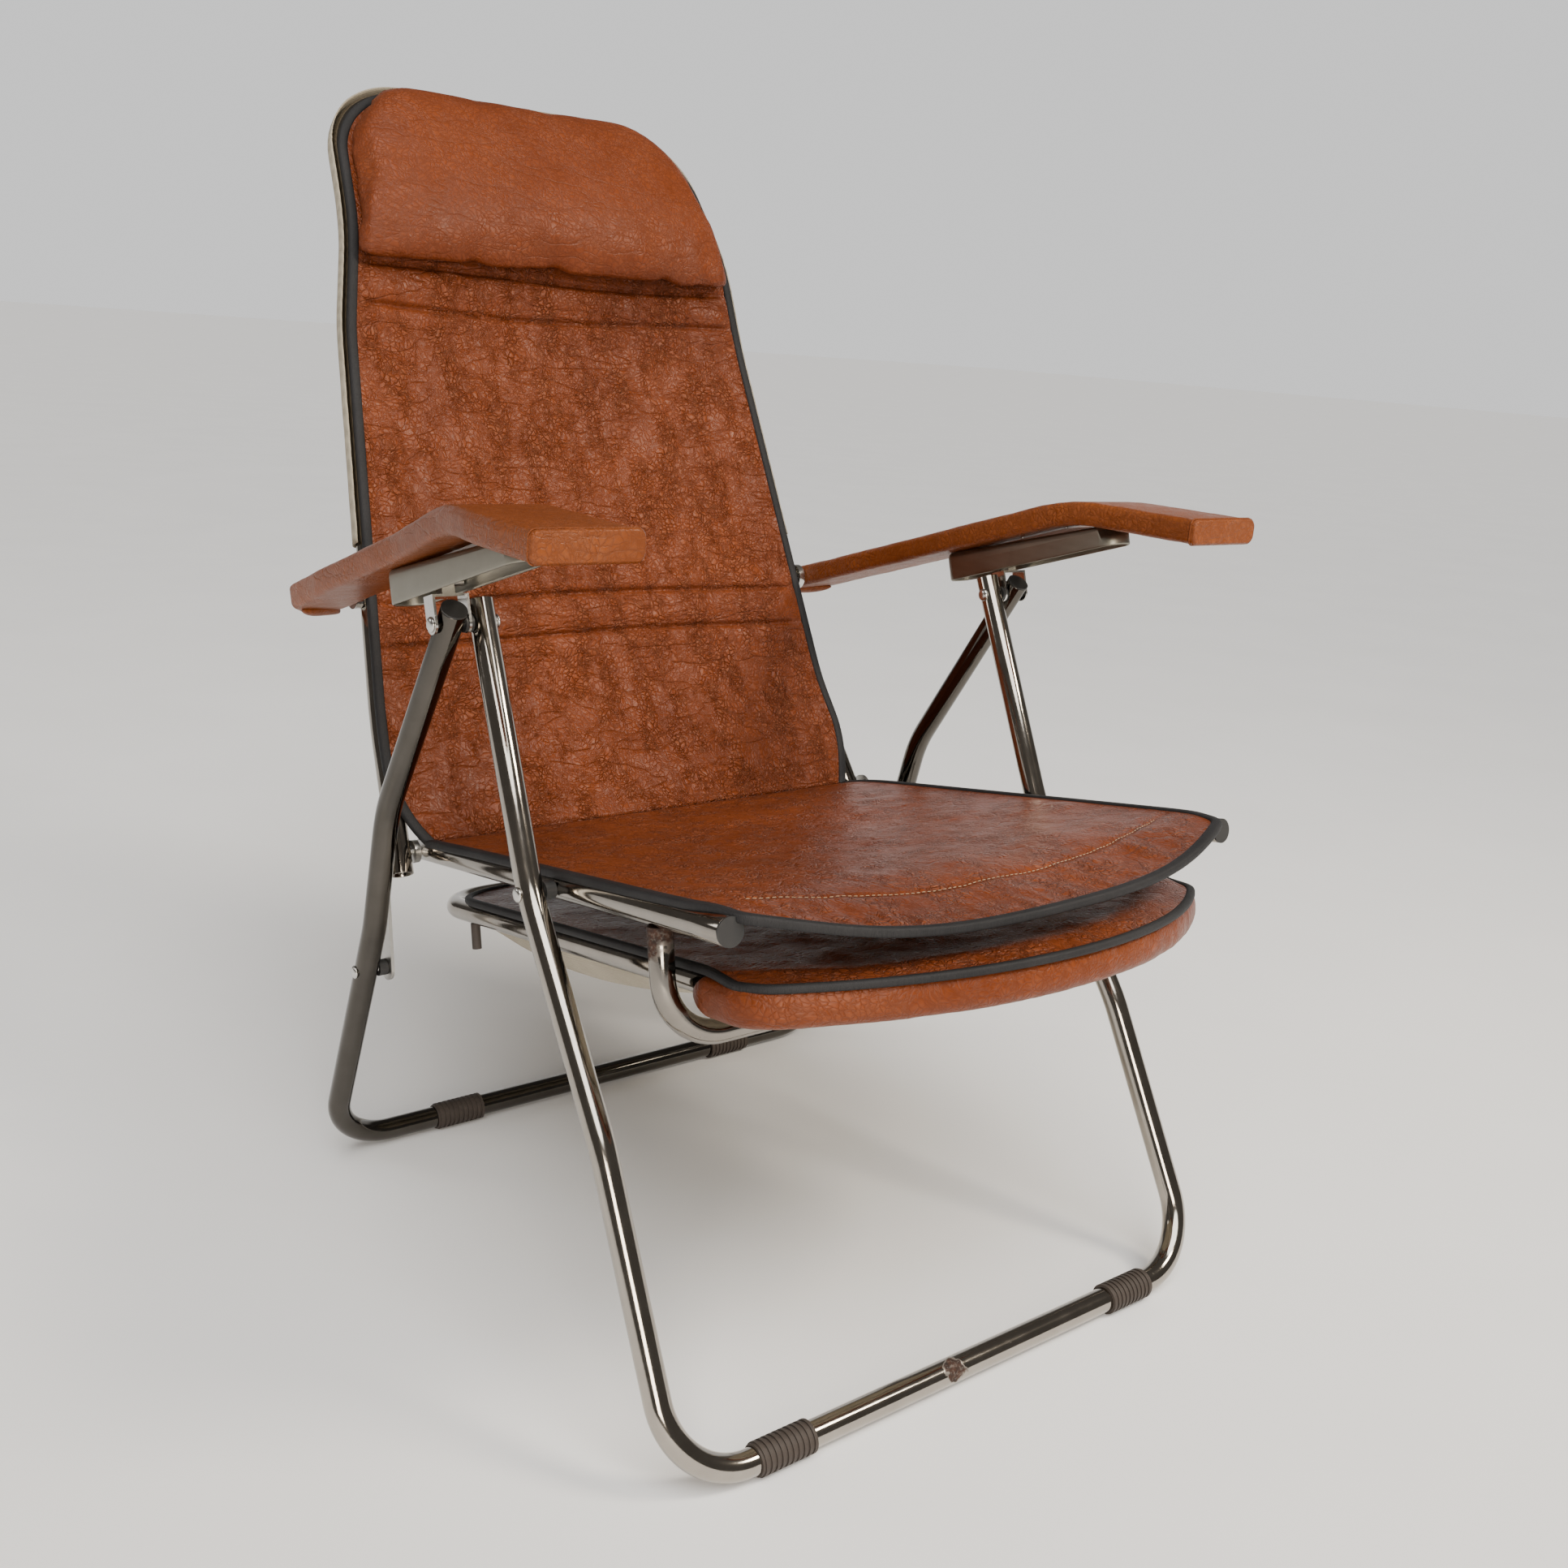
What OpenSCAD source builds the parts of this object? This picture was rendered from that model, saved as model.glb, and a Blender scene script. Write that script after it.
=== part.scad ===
// Folding, reclining lounge chair in bent steel tube, with a sling cover, a padded headrest,
// armrests that slide on notched catches, and a footrest that pulls out from under the seat.
// The chair faces -Y and stands on Z = 0, with the origin on the floor under its middle.

/* [Tubes] */
// Outside diameter of the leg, seat and back tubes
tube_d = 20; // [18:0.5:22]
// Outside diameter of the footrest tube and the brace
thin_tube_d = 18; // [16:0.5:20]
// Wall thickness of every tube
tube_wall = 1.5; // [1:0.25:2]
// Centre line radius of the bends at the floor
floor_bend_r = 60; // [40:5:80]

/* [Front legs] */
// Half the distance between the front legs at the floor
front_floor_x = 270; // [262:1:280]
// Half the distance between the front legs at the top pivot
front_top_x = 262; // [260:1:264]
// Length of front leg above the top pivot
front_tip = 17; // [15:0.5:18]

/* [Rear legs] */
// Half the distance between the rear legs
rear_x = 289; // [288:1:290]
// Distance from the front floor bar to the rear floor bar
rear_bar_y = 556; // [550:1:560]
// Length of rear leg above the top pivot
rear_tip = 13; // [12:0.5:14]

/* [Seat] */
// Height of the seat pivot on the front legs
seat_pivot_z = 364; // [362:1:366]
// Distance of the seat pivot behind the front floor bar
seat_pivot_y = 236; // [234:1:238]
// Half the distance between the seat rails at their front ends
rail_front_x = 244; // [240:1:244]
// Half the distance between the seat rails at the back pivot
rail_rear_x = 226; // [222:1:228]
// Length of seat rail in front of the seat pivot
rail_reach = 221; // [215:1:226]
// Thickness of the seat and back covers
cover_t = 5; // [4:0.5:6]
// How far the middle of the seat's front edge bows forward
seat_bow = 50; // [30:1:55]

/* [Back] */
// Distance of the back pivot behind the front floor bar
back_pivot_y = 489; // [486:1:492]
// Height of the back pivot
back_pivot_z = 313.5; // [310:0.5:316]
// Height of the top tube of the back
back_top_z = 950; // [930:1:960]
// Bend radius of the top corners
back_corner_r = 75; // [50:5:90]
// How far the headrest pad stands proud of the cover
headrest_t = 24; // [15:1:30]

/* [Armrests] */
// Slope of the rear part of the armrest, in degrees
arm_slope = 18; // [17:0.5:19]
// Width of the armrest's square front end
arm_front_w = 80; // [70:1:84]
// Thickness of the covered armrest
arm_t = 20; // [18:1:22]
// Length of the armrest channel
channel_l = 216; // [200:1:220]
// Outside width of the armrest channel
channel_w = 33; // [32:0.5:34]

/* [Footrest] */
// Distance from the seat rails' axis down to the footrest tube's axis
footrest_drop = 50; // [46:1:54]
// Half the width of the footrest frame, at the tube's axis
footrest_x = 215; // [205:1:218]
// Length of the footrest frame from rear bar to front bow
footrest_l = 458; // [440:2:465]

/* [Hidden] */

// Running clearance on the radius of each pin
running = 0.08;
// Clearance between faces that pass each other
face_gap = 0.4;
// Clearances between a tube that slants across its pin and the pin's head and washer
head_gap = 0.9;
washer_gap = 1.6;
bolt_r = 3;
head_r = 6;
head_t = 2.5;
sleeve_r = 12.5;
sleeve_flat = 0.4;
bar_z = sleeve_r - sleeve_flat;
tube_r = tube_d / 2;
thin_r = thin_tube_d / 2;

// Side view: points are [distance behind the front floor bar, height], moved into the frame
crown_y = 804;
seat_run = [seat_pivot_y - back_pivot_y, seat_pivot_z - back_pivot_z];
seat_dir = seat_run / norm(seat_run);
seat_up = [seat_dir[1], -seat_dir[0]];
footrest_rear_d = -8;
footrest_front_d = footrest_rear_d + footrest_l;
footrest_bow = 75;
pad_front_d = footrest_front_d + footrest_bow + 12;
foot_low = thin_r + 0.3;
pad_nose = back_pivot_y + seat_dir[0] * pad_front_d + seat_up[0] * (foot_low - footrest_drop);
front_y = -(crown_y + tube_r + pad_nose) / 2;
function at(y, z) = [front_y + y, z];
top_pivot = at(323, 547);
seat_pivot = at(seat_pivot_y, seat_pivot_z);
back_pivot = at(back_pivot_y, back_pivot_z);
rear_bar = at(rear_bar_y, bar_z);
rear_knee = at(456, 264);
rear_shoulder = at(431, 373.5);
// Height of the link's pivot on the rear leg, where the linkage closes both open and folded
link_pivot_z = 217.75;
link_share = (rear_knee[1] - link_pivot_z) / (rear_knee[1] - bar_z);
link_pivot = rear_knee + (rear_bar - rear_knee) * link_share;

// ---- Small helpers ----
function unit(v) = v / norm(v);
function side(a, b, t) = a + (b - a) * t;
function x_at(z) = front_floor_x + (front_top_x - front_floor_x) * (z - bar_z)
                   / (top_pivot[1] - bar_z);
function flip(p) = [-p[0], p[1], p[2]];
function mirrored(p) = [for (i = [len(p) - 1:-1:0]) flip(p[i])];
function perpendicular(v) = unit(abs(v[0]) < 0.9 ? cross(v, [1, 0, 0]) : cross(v, [0, 0, 1]));

module frame_of(e1, e2, e3, o) {
    multmatrix([[e1[0], e2[0], e3[0], o[0]],
                [e1[1], e2[1], e3[1], o[1]],
                [e1[2], e2[2], e3[2], o[2]],
                [0, 0, 0, 1]]) children();
}

// A round bar from a to b
module bar(a, b, r) {
    dir = unit(b - a);
    e1 = perpendicular(dir);
    frame_of(e1, cross(dir, e1), dir, a) cylinder(r = r, h = norm(b - a), $fn = 48);
}

// A bent tube with open ends: p are the corners of its centre line, bends[i] is the bend radius
// at each inner corner, and the wall is one closed surface swept along rings
ring_sides = 20;
bend_step = 15;
function corner_rings(p, a, b, bend) =
    let (turn = acos(min(1, a * b)), inward = unit(b - a), cut = bend * tan(turn / 2),
         centre = p + inward * bend / cos(turn / 2), e1 = unit(p - a * cut - centre),
         steps = ceil(turn / bend_step) + 1)
    [for (k = [0:steps]) let (t = turn * k / steps)
     [centre + bend * (cos(t) * e1 + sin(t) * a), unit(cos(t) * a - sin(t) * e1)]];
function tube_rings(p, bends) = let (last = len(p) - 1) concat(
    [[p[0], unit(p[1] - p[0])]],
    [for (i = [1:last - 1])
     for (q = corner_rings(p[i], unit(p[i] - p[i - 1]), unit(p[i + 1] - p[i]), bends[i - 1])) q],
    [[p[last], unit(p[last] - p[last - 1])]]);
function carried(e, dir) = unit(e - (e * dir) * dir);
module tube(p, bends, r) {
    rings = tube_rings(p, bends);
    n = len(rings);
    m = ring_sides;
    inner = r - tube_wall;
    ups = [for (i = 0, e = perpendicular(rings[0][1]); i < n;
                i = i + 1, e = i < n ? carried(e, rings[i][1]) : e) e];
    points = [for (i = [0:n - 1]) for (radius = [r, inner]) for (k = [0:m - 1])
              let (f = cross(rings[i][1], ups[i]), a = 360 * k / m)
              rings[i][0] + radius * (cos(a) * ups[i] + sin(a) * f)];
    wall = [for (i = [0:n - 2]) for (k = [0:m - 1]) let (j = (k + 1) % m, o = 2 * m * i, q = o + 2 * m)
            for (f = [[o + k, q + k, o + j], [o + j, q + k, q + j],
                      [o + m + k, o + m + j, q + m + k], [o + m + j, q + m + j, q + m + k]]) f];
    z = 2 * m * (n - 1);
    ends = [for (k = [0:m - 1]) let (j = (k + 1) % m)
            for (f = [[k, j, m + k], [j, m + j, m + k],
                      [z + k, z + m + k, z + j], [z + j, z + m + k, z + m + j]]) f];
    polyhedron(points, concat(wall, ends));
}

// A pin along X from x0 to x1 at the side-view point c
module pin(c, x0, x1, r) {
    translate([x0, c[0], c[1]]) rotate([0, 90, 0]) cylinder(r = r, h = x1 - x0, $fn = 48);
}

module ring(c, x0, x1, r, bore) {
    difference() {
        pin(c, x0, x1, r);
        pin(c, x0 - 1, x1 + 1, bore);
    }
}

module both() {
    children();
    mirror([1, 0, 0]) children();
}

// A closed soft sheet: stations are [y, z, half width, lower offset, upper offset]
function tangent(s, i) = unit([for (k = [0, 1]) s[min(i + 1, len(s) - 1)][k] - s[max(i - 1, 0)][k]]);
module sheet(s) {
    n = len(s);
    points = [for (i = [0:n - 1]) let (t = tangent(s, i), up = [t[1], -t[0]])
              for (c = [[-1, 3], [1, 3], [1, 4], [-1, 4]])
              [c[0] * s[i][2], s[i][0] + up[0] * s[i][c[1]], s[i][1] + up[1] * s[i][c[1]]]];
    walls = [for (i = [0:n - 2]) for (k = [0:3])
             for (f = [[4 * i + k, 4 * i + (k + 1) % 4, 4 * i + 4 + k],
                       [4 * i + (k + 1) % 4, 4 * i + 4 + (k + 1) % 4, 4 * i + 4 + k]]) f];
    e = 4 * (n - 1);
    polyhedron(points, concat([[2, 1, 0], [3, 2, 0]], [[e, e + 1, e + 2], [e, e + 2, e + 3]], walls));
}

// ---- Front legs ----
front_shin = at(118, 214);
front_up = unit(top_pivot - seat_pivot);
front_end = top_pivot + front_up * front_tip;
front_side = [for (q = [at(0, bar_z), front_shin, seat_pivot, front_end]) [x_at(q[1]), q[0], q[1]]];
gentle_bend_r = 160;

module front_leg_frame() {
    color("silver") difference() {
        tube(concat(mirrored(front_side), front_side),
             [gentle_bend_r, gentle_bend_r, floor_bend_r, floor_bend_r, gentle_bend_r, gentle_bend_r],
             tube_r);
        for (c = [top_pivot, seat_pivot]) pin(c, -rear_x, rear_x, bolt_r + running);
    }
}

// A ribbed sleeve on a floor bar, centred on x, with a worn flat underneath
sleeve_l = 48;
rib_count = 10;
module floor_sleeve(x, y) {
    pitch = sleeve_l / rib_count;
    rib_w = pitch * 0.55;
    difference() {
        union() {
            pin([y, bar_z], x - sleeve_l / 2, x + sleeve_l / 2, sleeve_r - 1);
            for (i = [0:rib_count - 1])
                pin([y, bar_z], x - sleeve_l / 2 + i * pitch, x - sleeve_l / 2 + i * pitch + rib_w,
                    sleeve_r);
        }
        pin([y, bar_z], x - sleeve_l, x + sleeve_l, tube_r + running);
        translate([x - sleeve_l, y - sleeve_r, -sleeve_r]) cube([2 * sleeve_l, 2 * sleeve_r, sleeve_r]);
    }
}

front_sleeve_x = 182;
module front_floor_sleeves() {
    color("#2a2522") both() floor_sleeve(front_sleeve_x, front_y);
}

// Lateral layers at the top pivot: front leg, stirrup cheek, rear leg, stirrup cheek
stirrup_t = 2;
stirrup_in = 274.6;
stirrup_out = 303.4;
module top_pivot_bolts() {
    color("gainsboro") both() {
        pin(top_pivot, front_top_x - tube_r - head_t, stirrup_out + head_t, bolt_r);
        pin(top_pivot, front_top_x - tube_r - head_t, front_top_x - tube_r - 0.1, head_r);
        pin(top_pivot, stirrup_out + 0.3, stirrup_out + head_t, head_r);
    }
}

module top_pivot_spacers() {
    front_face = front_top_x + tube_r + 0.2;
    color("#222222") both() {
        ring(top_pivot, front_face, stirrup_in - 0.2, 7, bolt_r + running);
        ring(top_pivot, stirrup_in + stirrup_t + 0.2, rear_x - tube_r - 0.2, 7, bolt_r + running);
    }
}

function rail_x(y) = rail_rear_x + (rail_front_x - rail_rear_x) * (back_pivot[0] - y)
                     / (back_pivot[0] - seat_pivot[0] + rail_reach);
seat_bolt_out = x_at(seat_pivot[1]) + tube_r;
module seat_pivot_bolts() {
    inner = rail_x(seat_pivot[0]) - tube_r - head_t - 0.3;
    color("gainsboro") both() {
        pin(seat_pivot, inner, seat_bolt_out + head_t, bolt_r);
        pin(seat_pivot, inner, inner + head_t, head_r);
        pin(seat_pivot, seat_bolt_out + 0.1, seat_bolt_out + head_t, head_r);
    }
}

module seat_pivot_spacers() {
    color("#222222") both()
        ring(seat_pivot, rail_x(seat_pivot[0]) + tube_r + face_gap, seat_bolt_out - tube_d - 0.3, 7,
             bolt_r + running);
}

// ---- Rear legs ----
rear_up = unit(top_pivot - rear_shoulder);
rear_end = top_pivot + rear_up * rear_tip;
rear_side = [for (q = [rear_bar, rear_knee, rear_shoulder, rear_end]) [rear_x, q[0], q[1]]];
rear_bend_r = 120;
link_x = 268;
link_t = 3;

module rear_leg_frame() {
    color("silver") difference() {
        tube(concat(mirrored(rear_side), rear_side),
             [rear_bend_r, rear_bend_r, floor_bend_r, floor_bend_r, rear_bend_r, rear_bend_r], tube_r);
        pin(top_pivot, -rear_x - tube_d, rear_x + tube_d, bolt_r + running);
        pin(link_pivot, -rear_x - tube_d, rear_x + tube_d, bolt_r + running);
    }
}

rear_sleeve_x = 161;
module rear_floor_sleeves() {
    color("#2a2522") both() floor_sleeve(rear_sleeve_x, rear_bar[0]);
}

cap_t = 1.5;
plug_l = 6;
module end_cap(p, dir, r) {
    bar(p + dir * 0.05, p + dir * cap_t, r);
    bar(p - dir * plug_l, p + dir * 0.05, (r - tube_wall) * cos(180 / ring_sides) - 0.1);
}

module rear_leg_caps() {
    color("#151515") both()
        end_cap([rear_x, rear_end[0], rear_end[1]], [0, rear_up[0], rear_up[1]], tube_r);
}

module link_bolts() {
    outer = rear_x + tube_r;
    color("gainsboro") both() {
        pin(link_pivot, link_x - head_t - 0.3, outer + head_t, bolt_r);
        pin(link_pivot, link_x - head_t - 0.3, link_x - 0.3, head_r);
        pin(link_pivot, outer + 0.1, outer + head_t, head_r);
    }
}

module link_spacers() {
    color("#222222") both()
        ring(link_pivot, link_x + link_t + 0.3, rear_x - tube_r - 0.2, 7, bolt_r + running);
}

// ---- Links: flat strips from the rear legs up to the back pivot ----
link_w = 24;
module link() {
    along = unit(back_pivot - link_pivot);
    across = [along[1], -along[0]];
    half = link_w / 2;
    difference() {
        translate([link_x, 0, 0]) rotate([90, 0, 90]) linear_extrude(link_t)
            polygon([for (e = [[back_pivot, 0], [link_pivot, 180]]) for (a = [0:15:180])
                     e[0] + half * (cos(a + e[1]) * across + sin(a + e[1]) * along)]);
        for (c = [link_pivot, back_pivot]) pin(c, link_x - 1, link_x + link_t + 1, bolt_r + running);
    }
}

// The stud that closes the link's upper eye; it stops short of the back tube
module link_stud() {
    pin(back_pivot, link_x - 1.5, link_x + link_t + 1.5, bolt_r);
    pin(back_pivot, link_x - 1.5, link_x - 0.05, head_r);
    pin(back_pivot, link_x + link_t + 0.05, link_x + link_t + 1.5, head_r);
}

module link_right() { color("darkgray") link(); }
module link_left() { color("darkgray") mirror([1, 0, 0]) link(); }
module link_stud_right() { color("gainsboro") link_stud(); }
module link_stud_left() { color("gainsboro") mirror([1, 0, 0]) link_stud(); }

// ---- Stirrups: U straps over the rear leg tops that carry the armrests' catch pins ----
catch_h = 30;
catch_r = 3;
strap_top = 21;
strap_w = 15;
module in_arm_frame(c) {
    translate([0, c[0], c[1]]) rotate([-arm_slope, 0, 0]) children();
}

module stirrup() {
    tongue_x = (stirrup_in + stirrup_out) / 2;
    tongue_w = 10;
    difference() {
        in_arm_frame(top_pivot) {
            for (x = [stirrup_in, stirrup_out - stirrup_t]) {
                translate([x, -strap_w / 2, 0]) cube([stirrup_t, strap_w, strap_top]);
                rotate([0, 90, 0]) translate([0, 0, x])
                    cylinder(d = strap_w, h = stirrup_t, $fn = 48);
            }
            translate([stirrup_in, -strap_w / 2, strap_top - stirrup_t])
                cube([stirrup_out - stirrup_in, strap_w, stirrup_t]);
            translate([tongue_x - tongue_w / 2, -tongue_w / 2, strap_top - stirrup_t])
                cube([tongue_w, tongue_w, catch_h - strap_top + stirrup_t]);
        }
        pin(top_pivot, stirrup_in - 1, stirrup_out + 1, bolt_r + running);
        in_arm_frame(top_pivot) translate([stirrup_in, 0, catch_h]) rotate([0, 90, 0])
            cylinder(r = catch_r + running, h = stirrup_out - stirrup_in, $fn = 48);
    }
}

module catch_pin() {
    in_arm_frame(top_pivot) translate([stirrup_in + 0.4, 0, catch_h]) rotate([0, 90, 0])
        cylinder(r = catch_r, h = stirrup_out - stirrup_in - 0.8, $fn = 48);
}

module stirrup_right() { color("gainsboro") stirrup(); }
module stirrup_left() { color("gainsboro") mirror([1, 0, 0]) stirrup(); }
module catch_pin_right() { color("gray") catch_pin(); }
module catch_pin_left() { color("gray") mirror([1, 0, 0]) catch_pin(); }

// ---- Seat ----
seat_len = norm(seat_pivot - back_pivot) + rail_reach;
rail_tail = 10;
function on_rail(d, h = 0) = back_pivot + seat_dir * d + seat_up * h;
function rail_point(d) = [rail_rear_x + (rail_front_x - rail_rear_x) * d / seat_len,
                          on_rail(d)[0], on_rail(d)[1]];

module seat_rails() {
    color("silver") both() difference() {
        bar(rail_point(-rail_tail), rail_point(seat_len), tube_r);
        bar(rail_point(-rail_tail - 1), rail_point(seat_len + 1), tube_r - tube_wall);
        for (c = [seat_pivot, back_pivot]) pin(c, rail_rear_x - tube_d, rear_x, bolt_r + running);
    }
}

module seat_rail_caps() {
    dir = unit(rail_point(seat_len) - rail_point(0));
    color("#151515") both() end_cap(rail_point(seat_len), dir, tube_r);
}

// The brace hangs in a U from the rails, and the footrest slides through it
brace_d = 393;
brace_drop = 90;
brace_r = 45;
module seat_brace() {
    x = rail_point(brace_d)[0];
    top = on_rail(brace_d, -tube_r + 1);
    low = on_rail(brace_d, -brace_drop);
    p = [[x, top[0], top[1]], [x, low[0], low[1]]];
    color("silver") difference() {
        tube(concat(p, mirrored(p)), [brace_r, brace_r], thin_r);
        both() bar(rail_point(0), rail_point(seat_len), tube_r);
    }
}

// Near the crease the covers dip between the rails, so that the back can fold onto the seat
crease_slope = 0.17;
crease_start = 16;
crease_x = rail_rear_x - tube_r - 3;
cover_low = tube_r + 1.2;
crease_reach = (cover_low + cover_t) / crease_slope + 1;
function rail_half(d) = rail_point(d)[0] + 5;
function dip(d) = min(cover_low + cover_t, crease_slope * d);
seat_front_d = seat_len + 6;
seat_droop = 20;
module seat_cover() {
    edge = [for (d = [crease_start, crease_reach]) [on_rail(d)[0], on_rail(d)[1], crease_x,
            dip(d) - cover_t, dip(d)]];
    main = [for (d = [crease_reach, seat_len - 60, seat_front_d]) [on_rail(d)[0], on_rail(d)[1],
            rail_half(d), cover_low, cover_low + cover_t]];
    bow = [for (k = [0, 0.35, 0.7, 1]) let (d = seat_front_d + k * seat_bow)
           [on_rail(d)[0], on_rail(d)[1], rail_half(seat_len) * (1 - 0.45 * k * k),
            cover_low - seat_droop * k, cover_low + cover_t - seat_droop * k]];
    color("sienna") {
        sheet(edge);
        sheet(main);
        sheet(bow);
    }
}

lining_t = 2;
module seat_lining() {
    color("#a59b87") sheet([for (d = [crease_reach, seat_len - 4]) [on_rail(d)[0], on_rail(d)[1],
                           rail_point(crease_reach)[0] - tube_r - 2, cover_low - lining_t - 6,
                           cover_low - 6]]);
}

// ---- Back pivot ----
back_tail = 19;
back_low_x = 253;
module back_pivot_bolts() {
    inner = rail_rear_x - tube_r - head_t - 0.3;
    outer = back_low_x + tube_r;
    color("gainsboro") both() {
        pin(back_pivot, inner, outer + head_t, bolt_r);
        pin(back_pivot, inner, inner + head_t, head_r);
        pin(back_pivot, outer + 0.4, outer + head_t, head_r);
    }
}

module back_pivot_spacers() {
    color("#222222") both()
        ring(back_pivot, rail_rear_x + tube_r + 0.5, back_low_x - tube_r - 1.4, 10, bolt_r + running);
}

// ---- Back ----
waist = at(556, 416);
neck = at(695, 742);
roll = at(718, 830);
crown = at(crown_y, back_top_z);
waist_x = 241;
neck_x = 209.5;
roll_x = 197;
crown_x = 181;
back_low = back_pivot - unit(waist - back_pivot) * back_tail;
back_side = [[back_low_x + 1.5, back_low[0], back_low[1]], [waist_x, waist[0], waist[1]],
             [neck_x, neck[0], neck[1]], [roll_x, roll[0], roll[1]], [crown_x, crown[0], crown[1]]];
back_bend_r = 260;

// The armrest pivot lies on the back tube's centre line
arm_pivot_z = 519.5;
arm_share = (arm_pivot_z - waist[1]) / (neck[1] - waist[1]);
arm_pivot = [side(waist[0], neck[0], arm_share), arm_pivot_z];
arm_tube_x = side(waist_x, neck_x, arm_share);

module back_frame() {
    color("silver") difference() {
        tube(concat(back_side, mirrored(back_side)),
             [back_bend_r, back_bend_r, 150, back_corner_r, back_corner_r, 150, back_bend_r,
              back_bend_r], tube_r);
        pin(back_pivot, -rear_x, rear_x, bolt_r + running);
        pin(arm_pivot, -rear_x, rear_x, bolt_r + running);
    }
}

// Half width of the back's loop at a distance below its top tube
function corner_x(e) = let (c = back_corner_r, q = max(0, c - e)) crown_x - c + sqrt(c * c - q * q);

// Stations up the back: [y, z, half width of the tubes]
function back_station(a, b, xa, xb, t) = [side(a[0], b[0], t), side(a[1], b[1], t), side(xa, xb, t)];
back_line = concat([for (t = [0.17, 0.5, 0.8, 1])
                    back_station(back_pivot, waist, back_low_x, waist_x, t)],
                   [for (t = [0.25, 0.5, 0.75, 1]) back_station(waist, neck, waist_x, neck_x, t)],
                   [for (t = [0.5, 1]) back_station(neck, roll, neck_x, roll_x, t)],
                   [for (t = [0.3, 0.5]) back_station(roll, crown, roll_x, crown_x, t)],
                   [for (t = [0.65, 0.85, 0.95, 1]) [side(roll[0], crown[0], t),
                    side(roll[1], crown[1], t), corner_x((1 - t) * norm(crown - roll))]]);
function from_pivot(s) = norm([s[0], s[1]] - back_pivot);

module back_cover() {
    s = [for (p = back_line) let (d = from_pivot(p), h = -dip(d))
         [p[0], p[1], d < crease_reach ? crease_x : p[2] + 2, h, h + cover_t]];
    color("sienna") sheet(s);
}

module back_lining() {
    s = [for (i = [3:len(back_line) - 4]) let (p = back_line[i])
         [p[0], p[1], p[2] - tube_r - 5, -cover_low + 1, -cover_low + 1 + lining_t]];
    color("#a59b87") sheet(s);
}

// The pad swells out of the cover over the top quarter of the back
module headrest_pad() {
    swell = [0.35, 0.95, 1, 0.95, 0.85, 0.7, 0.55, 0.4];
    first = len(back_line) - len(swell);
    front = cover_low + cover_t + 0.05;
    s = [for (i = [0:len(swell) - 1]) let (p = back_line[first + i])
         [p[0], p[1], p[2] - 12, -front - headrest_t * swell[i], -front]];
    color("sienna") sheet(s);
}

// ---- Armrests, in a frame with its origin at the armrest pivot and -Y along the rear slope ----
board_t = arm_t - 6;
skin_t = 3;
arm_curve_start = 340;
arm_curve_r = 220;
arm_tail = 26;
arm_flat_l = 106;
curve_steps = 8;
arm_end = [arm_curve_start + arm_curve_r * sin(arm_slope), -arm_curve_r * (1 - cos(arm_slope))];
// Side view of the armrest, thickened by t about its centre line and longer by e at each end
function arm_line(e) = concat([[-arm_tail - e, 0]],
    [for (i = [0:curve_steps]) let (a = arm_slope * i / curve_steps)
     [arm_curve_start + arm_curve_r * sin(a), -arm_curve_r * (1 - cos(a))]],
    [arm_end + (arm_flat_l + e) * [cos(arm_slope), -sin(arm_slope)]]);
function arm_tilt(i) = i < 2 ? 0 : min(arm_slope, arm_slope * (i - 1) / curve_steps);
function arm_outline(t, e) = let (c = arm_line(e), n = len(c)) concat(
    [for (i = [0:n - 1]) c[i] + t / 2 * [sin(arm_tilt(i)), cos(arm_tilt(i))]],
    [for (i = [n - 1:-1:0]) c[i] - t / 2 * [sin(arm_tilt(i)), cos(arm_tilt(i))]]);

// Plan view of the armrest: [distance forward of the pivot, inner x, outer x]
arm_inner_x = 264.5;
arm_outer_x = arm_inner_x + arm_front_w;
arm_root_x = 250;
arm_plan = [[-arm_tail, 252, 288], [0, arm_root_x, 304], [80, 252, 312], [250, 257, 318],
            [350, 261, 330], [420, 264, 342], [460, arm_inner_x, arm_outer_x],
            [540, arm_inner_x, arm_outer_x]];

function plan_point(i, k, grow) = [arm_plan[i][k], -arm_plan[i][0] + (i == 0 ? grow : 0)];
module arm_solid(t, grow) {
    last = len(arm_plan) - 1;
    intersection() {
        rotate([90, 0, 90]) linear_extrude(2 * rear_x)
            polygon([for (p = arm_outline(t, grow)) [-p[0], p[1]]]);
        translate([0, 0, -rear_x]) linear_extrude(2 * rear_x)
            polygon(concat([for (i = [0:last]) plan_point(i, 1, grow) - [grow, 0]],
                           [for (i = [last:-1:0]) plan_point(i, 2, grow) + [grow, 0]]));
    }
}

// The armrest's bolt ends inside the board, in a blind hole, and its thick washer fills the
// space between the back tube and the armrest
arm_bolt_end = 279;
arm_washer_r = 13;
module arm_bolt_hole(extra) {
    rotate([0, 90, 0]) cylinder(r = bolt_r + extra, h = arm_bolt_end + 1, $fn = 48);
}

module armrest_board() {
    in_arm_frame(arm_pivot) difference() {
        arm_solid(board_t, -skin_t);
        arm_bolt_hole(running);
        at_screws() cylinder(r = screw_r + 0.1, h = arm_t, center = true, $fn = 24);
    }
}

module armrest_cover() {
    in_arm_frame(arm_pivot) difference() {
        arm_solid(arm_t, 0);
        arm_solid(board_t, -skin_t);
        arm_bolt_hole(1);
        at_screws() translate([0, 0, -arm_t]) cylinder(r = screw_r + 0.5, h = arm_t, $fn = 24);
    }
}

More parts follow.
